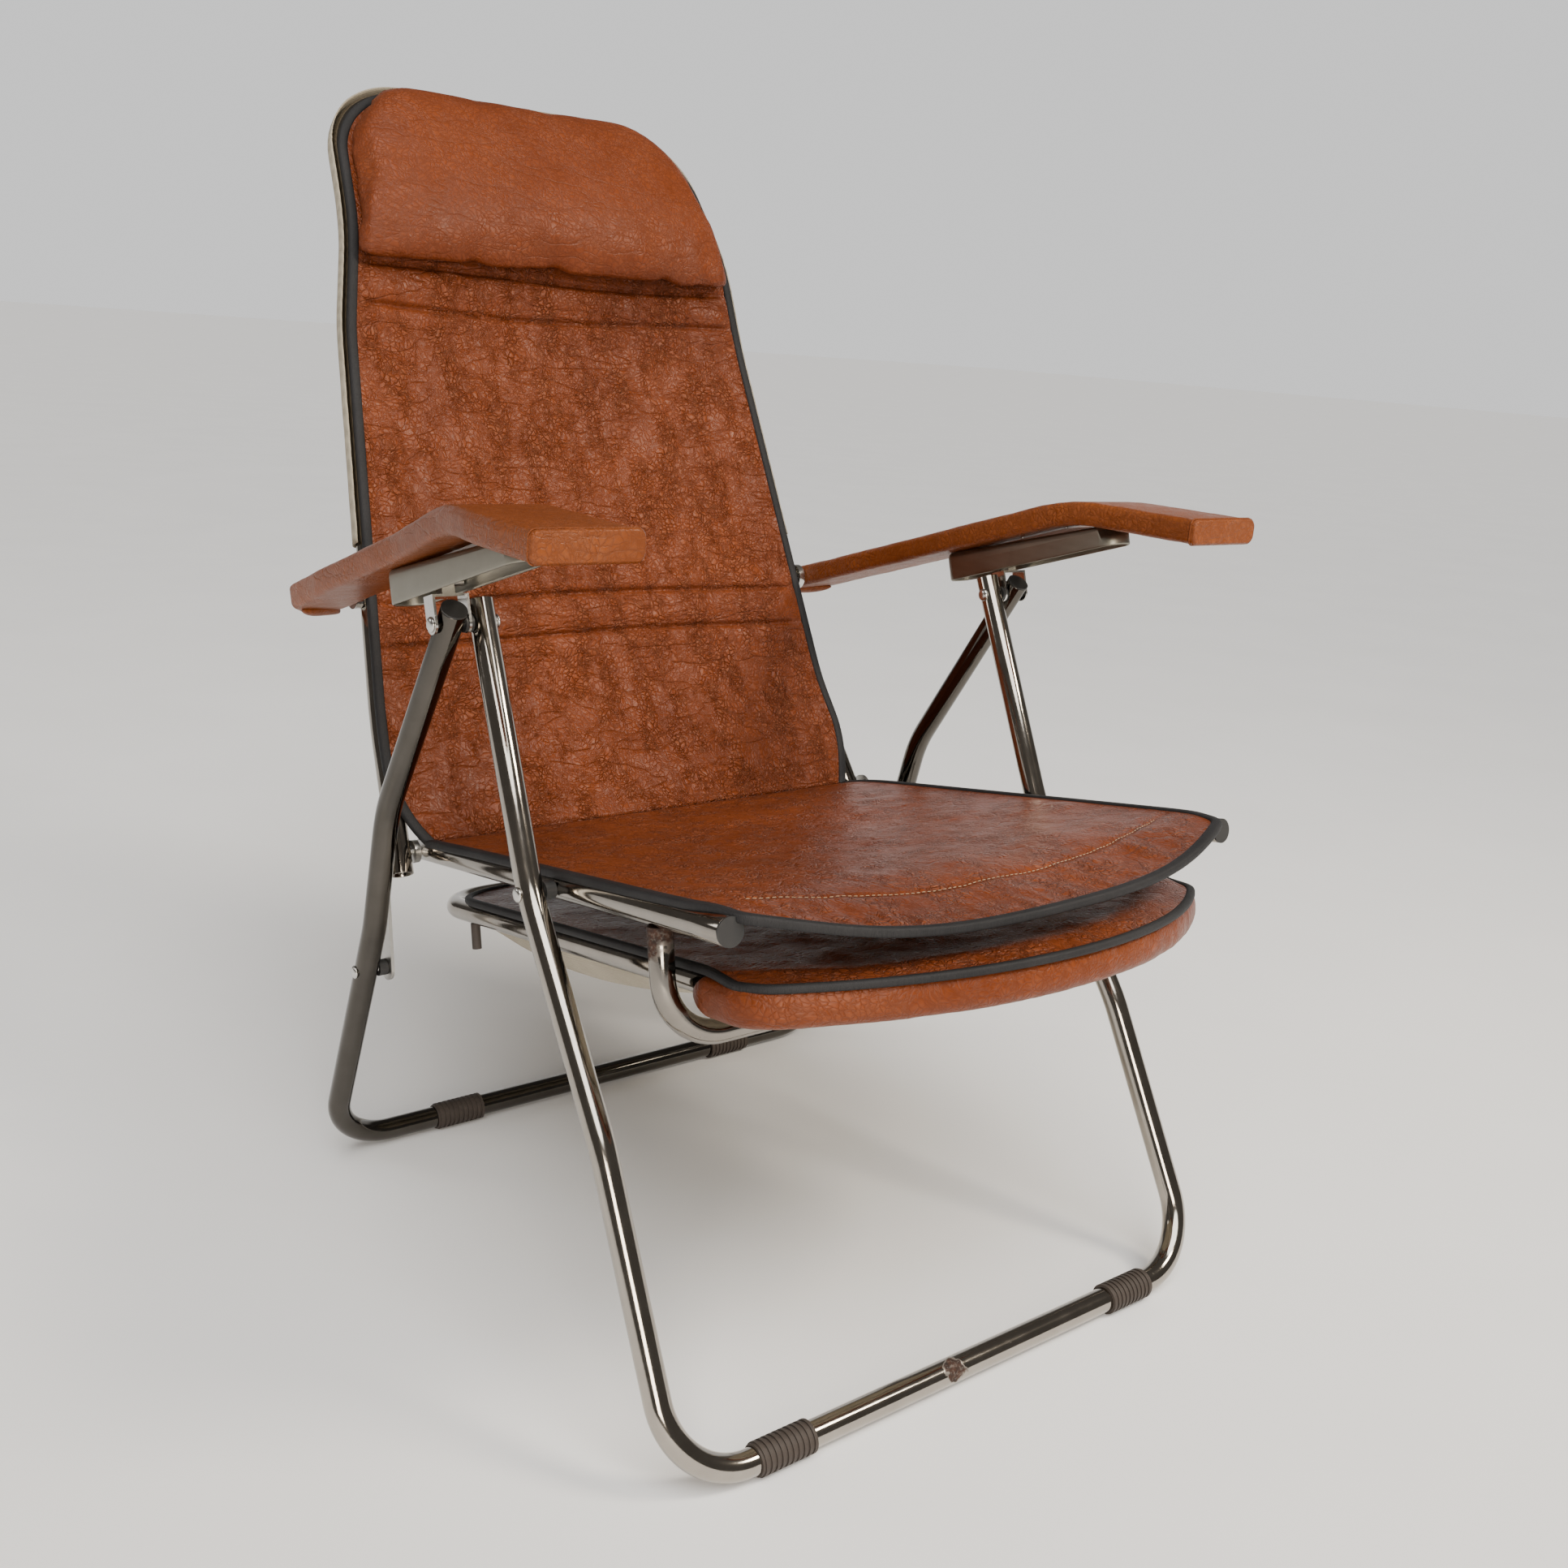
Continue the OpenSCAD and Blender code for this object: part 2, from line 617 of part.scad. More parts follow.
module arm_bolt() {
    head_x = arm_tube_x - tube_r - head_gap - head_t;
    washer_x = arm_tube_x + tube_r + washer_gap;
    in_arm_frame(arm_pivot) {
        translate([head_x, 0, 0]) rotate([0, 90, 0]) {
            cylinder(r = bolt_r, h = arm_bolt_end - head_x, $fn = 48);
            cylinder(r = head_r, h = head_t, $fn = 48);
        }
        translate([washer_x, 0, 0]) rotate([0, 90, 0])
            cylinder(r = arm_washer_r, h = arm_root_x - head_gap - washer_x, $fn = 48);
    }
}

// The channel is a pressed oblong dish under the armrest, open below
channel_x = rear_x;
channel_back = 200;
channel_wall = 1.4;
channel_depth = 27;
screw_places = [235, 295, 350];
screw_r = 1.7;
screw_l = 14;
screw_head_r = 3.4;
screw_head_h = 2;
module at_screws() {
    for (s = screw_places) translate([channel_x, -s, 0]) children();
}
module oblong(l, w, h) {
    linear_extrude(h) union() {
        translate([-w / 2, -l + w / 2]) square([w, l - w]);
        for (y = [-w / 2, w / 2 - l]) translate([0, y]) circle(d = w, $fn = 64);
    }
}

module arm_channel() {
    in_arm_frame(arm_pivot) difference() {
        translate([channel_x, -channel_back, -arm_t / 2 - channel_depth])
            oblong(channel_l, channel_w, channel_depth - 0.05);
        translate([channel_x, -channel_back - channel_wall, -arm_t / 2 - channel_depth - 1])
            oblong(channel_l - 2 * channel_wall, channel_w - 2 * channel_wall,
                   channel_depth + 1 - channel_wall);
        arm_solid(arm_t + 0.1, 0);
        at_screws() translate([0, 0, -arm_t]) cylinder(r = screw_r + 0.5, h = arm_t, $fn = 24);
    }
}

// Comb of notches over the catch pin's path; the armrest is lifted to pass from one to the next
rack_count = 5;
rack_pitch = 28;
rack_w = 12;
module notch_rack() {
    top = -arm_t / 2 - channel_wall - 0.4;
    tip = catch_h + catch_r + 1 - (arm_pivot - top_pivot) * [sin(arm_slope), cos(arm_slope)];
    root = tip + 6;
    first = (arm_pivot - top_pivot) * [cos(arm_slope), -sin(arm_slope)];
    last = first + (rack_count - 1) * rack_pitch;
    outline = concat([[first - 16, top], [first - 16, tip]],
        [for (i = [0:rack_count - 1]) for (q = [[-8, tip], [-5, root], [5, root], [8, tip]])
         [first + i * rack_pitch + q[0], q[1]]],
        [[last + 12, tip], [last + 12, top]]);
    in_arm_frame(arm_pivot) difference() {
        translate([channel_x - rack_w / 2, 0, 0]) rotate([90, 0, 90]) linear_extrude(rack_w)
            polygon([for (p = outline) [-p[0], p[1]]]);
        arm_solid(arm_t + 2 * channel_wall + 1, 0);
        at_screws() translate([0, 0, -2 * arm_t])
            cylinder(r = screw_head_r + 0.6, h = 2 * arm_t, $fn = 24);
    }
}

module arm_screws() {
    under = -arm_t / 2 - channel_wall - 0.4;
    in_arm_frame(arm_pivot) at_screws() {
        translate([0, 0, under - screw_head_h]) cylinder(r = screw_head_r, h = screw_head_h, $fn = 32);
        translate([0, 0, under - 0.5]) cylinder(r = screw_r, h = screw_l, $fn = 32);
    }
}

module arm_bolt_right() { color("gainsboro") arm_bolt(); }
module arm_bolt_left() { color("gainsboro") mirror([1, 0, 0]) arm_bolt(); }
module armrest_board_right() { color("burlywood") armrest_board(); }
module armrest_board_left() { color("burlywood") mirror([1, 0, 0]) armrest_board(); }
module armrest_cover_right() { color("sienna") armrest_cover(); }
module armrest_cover_left() { color("sienna") mirror([1, 0, 0]) armrest_cover(); }
module arm_channel_right() { color("#8a8475") arm_channel(); }
module arm_channel_left() { color("#8a8475") mirror([1, 0, 0]) arm_channel(); }
module notch_rack_right() { color("gray") notch_rack(); }
module notch_rack_left() { color("gray") mirror([1, 0, 0]) notch_rack(); }
module arm_screws_right() { color("gainsboro") arm_screws(); }
module arm_screws_left() { color("gainsboro") mirror([1, 0, 0]) arm_screws(); }

// ---- Footrest: a tube loop with a bowed front, which slides along the seat's line ----
footrest_corner_r = 45;
function foot_point(x, d) = [x, on_rail(d, -footrest_drop)[0], on_rail(d, -footrest_drop)[1]];

// The loop's two ends meet at a butt joint in the middle of the rear bar
butt_gap = 0.02;
module footrest_frame() {
    joint = foot_point(butt_gap, footrest_rear_d);
    rear = foot_point(footrest_x, footrest_rear_d);
    front = foot_point(footrest_x, footrest_front_d);
    bow = foot_point(footrest_x * 0.45, footrest_front_d + footrest_bow);
    color("silver")
        tube([flip(joint), flip(rear), flip(front), flip(bow), bow, front, rear, joint],
             [footrest_corner_r, 90, 120, 120, 90, footrest_corner_r], thin_r);
}

pad_t = 14;
module footrest_pad() {
    s = [for (k = [0, 0.1, 0.85, 0.93, 1]) let (d = side(footrest_rear_d + 45, pad_front_d, k))
         [on_rail(d, -footrest_drop)[0], on_rail(d, -footrest_drop)[1],
          footrest_x + 2 - (k == 0 ? 30 : 0) - 900 * pow(max(0, k - 0.7), 2), foot_low,
          foot_low + pad_t]];
    color("sienna") sheet(s);
}

module footrest_lining() {
    s = [for (d = [70, footrest_front_d - 70])
         [on_rail(d, -footrest_drop)[0], on_rail(d, -footrest_drop)[1], footrest_x - thin_r - 4,
          -6 - lining_t, -6]];
    color("#a59b87") sheet(s);
}

// The studs under the footrest's sides meet the brace when it is pulled right out
stop_d = 60;
stop_l = 22;
stop_r = 4;
module footrest_stops() {
    place = foot_point(footrest_x, stop_d);
    down = [0, -seat_up[0], -seat_up[1]];
    color("#222222") both()
        bar(place + down * (thin_r + stop_l), place + down * (thin_r + 0.05), stop_r);
}

front_leg_frame();
front_floor_sleeves();
top_pivot_bolts();
top_pivot_spacers();
seat_pivot_bolts();
seat_pivot_spacers();
rear_leg_frame();
rear_floor_sleeves();
rear_leg_caps();
link_bolts();
link_spacers();
link_left();
link_right();
link_stud_left();
link_stud_right();
stirrup_left();
stirrup_right();
catch_pin_left();
catch_pin_right();
seat_rails();
seat_brace();
seat_rail_caps();
seat_cover();
seat_lining();
back_pivot_bolts();
back_pivot_spacers();
back_frame();
back_cover();
back_lining();
headrest_pad();
arm_bolt_left();
arm_bolt_right();
armrest_board_left();
armrest_board_right();
armrest_cover_left();
armrest_cover_right();
arm_channel_left();
arm_channel_right();
notch_rack_left();
notch_rack_right();
arm_screws_left();
arm_screws_right();
footrest_frame();
footrest_pad();
footrest_lining();
footrest_stops();
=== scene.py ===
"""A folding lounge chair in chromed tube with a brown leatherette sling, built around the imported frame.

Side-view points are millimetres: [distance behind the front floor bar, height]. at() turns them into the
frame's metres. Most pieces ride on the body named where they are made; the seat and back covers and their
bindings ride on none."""
import math

import bmesh
import bpy
import numpy as np
from mathutils import Matrix, Vector, noise


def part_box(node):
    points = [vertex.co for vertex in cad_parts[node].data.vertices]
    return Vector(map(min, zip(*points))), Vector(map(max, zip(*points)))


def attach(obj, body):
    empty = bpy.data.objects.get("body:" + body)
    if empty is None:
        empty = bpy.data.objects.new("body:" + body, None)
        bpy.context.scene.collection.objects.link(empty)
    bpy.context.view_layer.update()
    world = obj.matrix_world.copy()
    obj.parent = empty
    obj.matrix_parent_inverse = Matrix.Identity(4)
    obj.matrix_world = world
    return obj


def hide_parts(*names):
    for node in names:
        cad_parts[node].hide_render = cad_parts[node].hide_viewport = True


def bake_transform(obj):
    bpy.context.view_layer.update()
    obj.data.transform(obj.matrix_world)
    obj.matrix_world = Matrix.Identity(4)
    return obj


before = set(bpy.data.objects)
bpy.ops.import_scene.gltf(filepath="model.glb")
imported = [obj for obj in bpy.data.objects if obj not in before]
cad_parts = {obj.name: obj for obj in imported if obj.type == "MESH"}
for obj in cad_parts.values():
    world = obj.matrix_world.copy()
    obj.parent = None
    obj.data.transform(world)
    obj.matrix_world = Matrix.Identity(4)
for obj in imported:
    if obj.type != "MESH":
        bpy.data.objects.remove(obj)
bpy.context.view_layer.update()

MM = 0.001
sleeve_low, sleeve_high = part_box("front_floor_sleeves")
FRONT_Y = (sleeve_low.y + sleeve_high.y) / 2


def at(x, y, z):
    return np.array([x * MM, FRONT_Y + y * MM, z * MM])


def unit(v):
    v = np.asarray(v, float)
    return v / np.linalg.norm(v)


# ---- The chair's main places, as in the CAD ----
TUBE_R, THIN_R, WALL = 10.0, 9.0, 1.5
BAR_Z = 12.1
TOP_PIVOT, SEAT_PIVOT = np.array([323.0, 547.0]), np.array([236.0, 364.0])
BACK_PIVOT = np.array([489.0, 313.5])
REAR_BAR_Y, REAR_KNEE, REAR_SHOULDER = 556.0, np.array([456.0, 264.0]), np.array([431.0, 373.5])
FRONT_SHIN = np.array([118.0, 214.0])
WAIST, NECK = np.array([556.0, 416.0]), np.array([695.0, 742.0])
ROLL, CROWN = np.array([718.0, 830.0]), np.array([804.0, 950.0])
WAIST_X, NECK_X, ROLL_X, CROWN_X, BACK_LOW_X = 241.0, 209.5, 197.0, 181.0, 253.0
CORNER_R = 75.0
SEAT_DIR = unit(SEAT_PIVOT - BACK_PIVOT)
SEAT_UP = np.array([SEAT_DIR[1], -SEAT_DIR[0]])
RAIL_AHEAD = 221.0
SEAT_LEN = float(np.linalg.norm(SEAT_PIVOT - BACK_PIVOT)) + RAIL_AHEAD
RAIL_X = (226.0, 244.0)
ARM_PIVOT_Z = 519.5
ARM_SHARE = (ARM_PIVOT_Z - WAIST[1]) / (NECK[1] - WAIST[1])
ARM_PIVOT = np.array([WAIST[0] + (NECK[0] - WAIST[0]) * ARM_SHARE, ARM_PIVOT_Z])
ARM_SLOPE = math.radians(18)


def on_rail(d, h=0.0):
    return BACK_PIVOT + SEAT_DIR * d + SEAT_UP * h


def rail_x(d):
    return RAIL_X[0] + (RAIL_X[1] - RAIL_X[0]) * d / SEAT_LEN


def rail_point(d, h=0.0, x=None):
    y, z = on_rail(d, h)
    return np.array([rail_x(d) if x is None else x, y, z])


# ---- Mesh helpers ----
def make(name, verts, faces, materials, index=None):
    mesh = bpy.data.meshes.new(name)
    mesh.from_pydata([tuple(map(float, v)) for v in verts], [], faces)
    mesh.validate()
    for m in materials if isinstance(materials, (list, tuple)) else [materials]:
        mesh.materials.append(m)
    if index is not None and len(index) == len(mesh.polygons):
        mesh.polygons.foreach_set("material_index", np.array(index, dtype=np.int32))
    mesh.polygons.foreach_set("use_smooth", np.full(len(mesh.polygons), True))
    obj = bpy.data.objects.new(name, mesh)
    bpy.context.scene.collection.objects.link(obj)
    b = bmesh.new()
    b.from_mesh(mesh)
    bmesh.ops.recalc_face_normals(b, faces=b.faces)
    b.to_mesh(mesh)
    b.free()
    return obj


def finish_piece(obj, body, material_slot, *replaced):
    if body:
        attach(obj, body)
    if replaced:
        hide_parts(*replaced)
    return obj


def select(*objs):
    bpy.ops.object.select_all(action="DESELECT")
    for o in objs:
        o.select_set(True)
    bpy.context.view_layer.objects.active = objs[0]


def join(name, objs):
    """One object from several, in the order given."""
    select(*objs)
    bpy.ops.object.join()
    objs[0].name = objs[0].data.name = name
    return objs[0]


def fillet(points, radii, step=4.0):
    """A path through the corners, each rounded with its bend radius."""
    pts = [np.asarray(p, float) for p in points]
    out = [pts[0]]
    for i in range(1, len(pts) - 1):
        a, b = unit(pts[i] - pts[i - 1]), unit(pts[i + 1] - pts[i])
        turn = math.acos(float(np.clip(a @ b, -1, 1)))
        if turn < 1e-3:
            out.append(pts[i])
            continue
        r = radii[i - 1]
        inward = unit(b - a)
        centre = pts[i] + inward * r / math.cos(turn / 2)
        e1 = unit(pts[i] - a * r * math.tan(turn / 2) - centre)
        n = max(3, math.ceil(math.degrees(turn) / step))
        out += [centre + r * (math.cos(turn * k / n) * e1 + math.sin(turn * k / n) * a) for k in range(n + 1)]
    out.append(pts[-1])
    return out


def resample(points, gap):
    p = np.array(points, float)
    s = np.concatenate([[0], np.cumsum(np.linalg.norm(np.diff(p, axis=0), axis=1))])
    n = max(2, int(round(s[-1] / gap)))
    t = np.linspace(0, s[-1], n + 1)
    return np.stack([np.interp(t, s, p[:, k]) for k in range(p.shape[1])], axis=1)


def tangents(path, closed=False):
    p = np.asarray(path, float)
    if closed:
        t = np.roll(p, -1, 0) - np.roll(p, 1, 0)
    else:
        t = np.gradient(p, axis=0)
    return t / np.linalg.norm(t, axis=1)[:, None]


def carried_frames(path, first_up=None):
    t = tangents(path)
    up = np.array([1.0, 0, 0]) if first_up is None else np.asarray(first_up, float)
    if abs(up @ t[0]) > 0.9:
        up = np.array([0, 0, 1.0])
    ups = []
    for k in t:
        up = unit(up - (up @ k) * k)
        ups.append(up)
    return t, np.array(ups)


def ring_at(c, up, side, ru, rs, sides, power=2.0):
    """A ring about c that reaches ru along up and rs along side: an ellipse, or squarer with more power."""
    a = np.arange(sides) * 2 * math.pi / sides
    ca, sa = np.cos(a), np.sin(a)
    e = 2.0 / power
    along_up, along_side = np.sign(ca) * np.abs(ca) ** e * ru, np.sign(sa) * np.abs(sa) ** e * rs
    return c + along_up[:, None] * up + along_side[:, None] * side


def loft(name, rings, material, closed=False):
    m, n = len(rings[0]), len(rings)
    faces = []
    for i in range(n if closed else n - 1):
        o, q = m * i, m * ((i + 1) % n)
        faces += [(o + k, o + (k + 1) % m, q + (k + 1) % m, q + k) for k in range(m)]
    if not closed:
        faces += [tuple(range(m)), tuple(range(m * (n - 1), m * n))]
    return make(name, np.concatenate(rings), faces, material)


def chrome_tube(name, path, r, material, depth=22.0, sides=40):
    """A hollow tube, open at both ends to a dark depth, with a rounded rim."""
    p = [at(*q) for q in path]
    t, ups = carried_frames(p)
    inner, last = r - WALL, len(p) - 1
    rim = [(depth, inner), (0.5, inner), (0.0, inner + 0.4), (0.0, r - 0.5), (0.15, r - 0.15), (0.5, r)]
    stations = [(0, shift, radius) for shift, radius in rim] + [(i, 0, r) for i in range(1, last)]
    stations += [(last, -shift, radius) for shift, radius in rim[::-1]]
    rings = []
    for i, shift, radius in stations:
        c = p[i] + t[i] * shift * MM
        rings.append(ring_at(c, ups[i], np.cross(t[i], ups[i]), radius * MM, radius * MM, sides))
    return loft(name, rings, material)


def band(name, path, ups, w, h, material, power=3.0, sides=14, closed=False):
    """A flattened roll along a path: w across the surface, h out of it. ups are the surface normals."""
    p = np.asarray(path, float)
    t = tangents(p, closed)
    rings = []
    for k in range(len(p)):
        up = unit(ups[k] - (ups[k] @ t[k]) * t[k])
        rings.append(ring_at(p[k], up, np.cross(t[k], up), h * MM / 2, w * MM / 2, sides, power))
    if not closed:
        for end, step in ((0, 1), (len(p) - 1, -1)):
            c, shape = p[end], rings[0 if end == 0 else -1]
            taper = ((0.86, 0.5), (0.5, 0.86))
            caps = [c + (shape - c) * q - t[end] * step * s * h * MM / 2 for q, s in taper]
            rings = caps[::-1] + rings if end == 0 else rings + caps
    return loft(name, rings, material, closed)


def smoothed(path, rounds, closed=False):
    """A path averaged with its neighbours; an open path keeps its ends."""
    p = np.array(path, float)
    for _ in range(rounds):
        if closed:
            p = 0.25 * np.roll(p, 1, 0) + 0.5 * p + 0.25 * np.roll(p, -1, 0)
        else:
            p[1:-1] = 0.25 * p[:-2] + 0.5 * p[1:-1] + 0.25 * p[2:]
    return p


def spaced(points, gap):
    """Indices of points that stand more than gap apart."""
    keep = [0]
    for k in range(1, len(points)):
        if np.linalg.norm(points[k] - points[keep[-1]]) > gap:
            keep.append(k)
    return keep


def fuzz(p, scale, seed=0.0):
    return noise.noise(Vector((p[0] * scale + seed, p[1] * scale - seed, p[2] * scale + 2 * seed)))


# ---- Materials ----
class Mat:
    """The nodes of a material or a world. Inputs are constants or other nodes' outputs."""

    def __init__(self, name, kind="materials"):
        self.owner = getattr(bpy.data, kind).new(name)
        self.owner.use_nodes = True
        self.tree = self.owner.node_tree
        self.tree.nodes.clear()
        self.places = self.node("ShaderNodeTexCoord").outputs
        self.coords = self.places["Object"]

    def node(self, kind, props=None, **inputs):
        n = self.tree.nodes.new(kind)
        for k, v in (props or {}).items():
            setattr(n, k, v)
        for k, v in inputs.items():
            self.put(n.inputs[k.replace("_", " ")], v)
        return n

    def put(self, socket, v):
        if isinstance(v, bpy.types.NodeSocket):
            self.tree.links.new(v, socket)
        elif isinstance(v, bpy.types.Node):
            self.tree.links.new(v.outputs[0], socket)
        else:
            socket.default_value = (*v, 1) if socket.type == "RGBA" else v

    def math(self, op, a, b=0.0, clamp=False):
        n = self.node("ShaderNodeMath", {"operation": op, "use_clamp": clamp})
        self.put(n.inputs[0], a)
        self.put(n.inputs[1], b)
        return n.outputs[0]

    def mul(self, *factors):
        return self.math("MULTIPLY", *factors)

    def add(self, a, b):
        return self.math("ADD", a, b)

    def vector(self, op, a, b):
        n = self.node("ShaderNodeVectorMath", {"operation": op})
        self.put(n.inputs[0], a)
        self.put(n.inputs[1], b)
        return n.outputs

    def noise(self, scale, detail=3.0, rough=0.55, coords=None, distortion=0.0):
        n = self.node("ShaderNodeTexNoise", Vector=self.coords if coords is None else coords, Scale=scale,
                      Detail=detail, Roughness=rough, Distortion=distortion)
        return n.outputs["Fac"]

    def cells(self, scale, coords):
        n = self.node("ShaderNodeTexVoronoi", {"feature": "DISTANCE_TO_EDGE"}, Vector=coords, Scale=scale)
        return n.outputs["Distance"]

    def stretched(self, x, y, z):
        return self.node("ShaderNodeMapping", Vector=self.coords, Scale=(x, y, z)).outputs[0]

    def warped(self, scale, amount, coords=None):
        """Coordinates pushed about by noise, by up to amount metres."""
        coords = self.coords if coords is None else coords
        n = self.node("ShaderNodeTexNoise", Vector=coords, Scale=scale, Detail=2.0)
        s = self.node("ShaderNodeVectorMath", {"operation": "SCALE"}, Scale=amount)
        self.put(s.inputs[0], n.outputs["Color"])
        return self.vector("ADD", coords, s)[0]

    def ramp(self, fac, *stops):
        n = self.node("ShaderNodeValToRGB", Fac=fac)
        e = n.color_ramp.elements
        while len(e) < len(stops):
            e.new(0.5)
        for k, (pos, colour) in enumerate(stops):
            e[k].position = pos
            e[k].color = (*colour, 1) if hasattr(colour, "__len__") else (colour, colour, colour, 1)
        return n.outputs["Color"]

    def mix(self, fac, a, b):
        n = self.node("ShaderNodeMix", {"data_type": "RGBA"}, Factor=fac)
        for name, v in (("A", a), ("B", b)):
            self.put(next(i for i in n.inputs if i.name == name and i.type == "RGBA"), v)
        return next(o for o in n.outputs if o.type == "RGBA")

    def bump(self, height, strength, distance):
        return self.node("ShaderNodeBump", Height=height, Strength=strength, Distance=distance)

    def shade(self, colour, rough, metal=0.0, normal=None, **extra):
        b = self.node("ShaderNodeBsdfPrincipled", Base_Color=colour, Roughness=rough, Metallic=metal, **extra)
        if normal is not None:
            self.put(b.inputs["Normal"], normal)
        self.node("ShaderNodeOutputMaterial", Surface=b)
        return self.owner


WARP = 0.02
CHROME_DARK, CHROME_PALE = (0.30, 0.272, 0.235), (0.46, 0.425, 0.38)


def chrome_material(name, rust, spot=None, reach=0.02, painted_shade_scale=1.0):
    """Chrome plate with fine pitting; rust gathers within reach metres of the given spot."""
    m = Mat(name)
    haze = m.noise(38, 5, 0.6)
    pits = m.noise(420, 4, 0.7)
    spots = m.ramp(m.noise(26, 6, 0.75), (0.66 - rust, 0.0), (0.74 - rust, 1.0))
    freckles = m.ramp(pits, (0.62, 0.0), (0.72, 1.0))
    marked = m.mul(spots, freckles, True)
    if spot is not None:
        # the warp moves points by half its amount on average, so the spot moves along
        centre = tuple(float(c) + WARP / 2 for c in spot)
        far = m.vector("DISTANCE", m.warped(90, WARP), centre)["Value"]
        near = m.ramp(m.math("DIVIDE", far, reach), (0.66, 1.0), (0.78, 0.0))
        marked = m.math("MAXIMUM", marked, m.mul(near, m.ramp(pits, (0.34, 0.75), (0.5, 1.0))))
    brown = m.ramp(m.noise(260, 3), (0.3, (0.012, 0.005, 0.003)), (0.7, (0.050, 0.018, 0.008)))
    # painted shade: the last argument scales the plate's colour down on parts that should look darker
    base = m.mix(haze, *(tuple(painted_shade_scale * c for c in tone) for tone in (CHROME_DARK, CHROME_PALE)))
    colour = m.mix(marked, base, brown)
    rough = m.add(m.mul(haze, 0.14), m.add(m.mul(marked, 0.75), 0.04))
    metal = m.math("SUBTRACT", 1.0, marked, True)
    return m.shade(colour, rough, metal, m.bump(pits, 0.12, 0.0002))


def vinyl_material(name, dark, light, crinkle, rough=0.33, streaks=True):
    """Worn leatherette: fine cracks in dark pits, long folds, and painted glints of pale colour between them.
    """
    m = Mat(name)
    bent = m.warped(26, 0.018)
    fine = m.warped(70, 0.010, bent)
    small = m.ramp(m.cells(205, fine), (0.0, 0.0), (0.12, 0.6), (0.45, 1.0))
    creases = m.math("ABSOLUTE", m.math("SUBTRACT", m.noise(48, 6, 0.66, fine, 0.8), 0.5))
    folds = m.ramp(creases, (0.0, 0.0), (0.03, 0.75), (0.12, 1.0))
    broad = m.math("ABSOLUTE", m.math("SUBTRACT", m.noise(1.0, 3, 0.5, m.stretched(14, 14, 42)), 0.5))
    long_folds = m.ramp(broad, (0.0, 0.0), (0.02, 0.8), (0.06, 1.0))
    if streaks:
        where = m.ramp(m.noise(1.0, 3, 0.5, m.stretched(44, 44, 4)), (0.42, 0.25), (0.60, 1.0))
    else:
        where = m.ramp(m.noise(14, 2), (0.35, 0.25), (0.65, 1.0))
    grain = m.noise(1100, 3, 0.6)
    wrinkles = m.mul(m.mul(small, folds), where)
    height = m.add(m.mul(wrinkles, 0.7), m.mul(long_folds, 0.35))
    height = m.add(height, m.mul(grain, 0.05))
    tone = m.ramp(m.noise(7, 2, 0.5), (0.25, dark), (0.78, light))
    # darker in the cracks and creases
    pit = m.math("SUBTRACT", 1.0, m.mul(small, m.mul(folds, long_folds)), True)
    marked = m.mix(m.mul(pit, 0.42), tone, tuple(0.38 * c for c in dark))
    # painted glints: a pale highlight colour on the crinkle tops where the streaks are
    painted_glint = m.ramp(m.noise(130, 3, 0.6, fine), (0.44, 0.0), (0.60, 1.0))
    painted_glint = m.mul(m.mul(painted_glint, small), m.mul(where, 0.26 * crinkle))
    marked = m.mix(painted_glint, marked, (0.36, 0.150, 0.080))
    gloss = m.add(m.mul(m.noise(60, 4), 0.22), rough - 0.11)
    return m.shade(marked, gloss, 0.0, m.bump(height, crinkle, 0.0024), Specular_IOR_Level=0.20)


def cloth_material(name, dark, light, thread, rough=0.9, bump=0.5):
    """A plain weave; thread is the thread spacing in metres."""
    m = Mat(name)
    waves = []
    for direction in ("X", "Z", "Y"):
        props = {"wave_type": "BANDS", "bands_direction": direction}
        scale = 2 * math.pi / (20 * thread)
        n = m.node("ShaderNodeTexWave", props, Vector=m.warped(60, 0.0012), Scale=scale, Distortion=0.4)
        waves.append(n.outputs["Fac"])
    weave = m.mul(waves[0], m.math("MAXIMUM", waves[1], waves[2]))
    slubs = m.noise(1.0, 3, 0.6, m.stretched(700, 700, 60))
    soil = m.noise(7, 5, 0.65)
    blotches = m.add(m.mul(soil, 0.7), m.mul(slubs, 0.3))
    tone = m.ramp(blotches, (0.35, dark), (0.68, light))
    colour = m.mix(m.mul(weave, 0.35), tone, tuple(0.6 * c for c in dark))
    return m.shade(colour, rough, 0.0, m.bump(weave, bump, thread * 0.4), Specular_IOR_Level=0.25)


def satin_material(name, dark, light, rough, metal, brush=0.3, scratch=(300, 12, 300)):
    m = Mat(name)
    lines = m.noise(1.0, 4, 0.6, m.stretched(*scratch))
    cloud = m.noise(40, 4, 0.6)
    colour = m.mix(m.mul(m.add(lines, cloud), 0.5), dark, light)
    gloss = m.add(m.mul(lines, 0.2), rough - 0.1)
    return m.shade(colour, gloss, metal, m.bump(lines, brush, 0.0002))


DARK_BROWN, LIT_BROWN = (0.132, 0.0285, 0.0080), (0.228, 0.053, 0.0150)
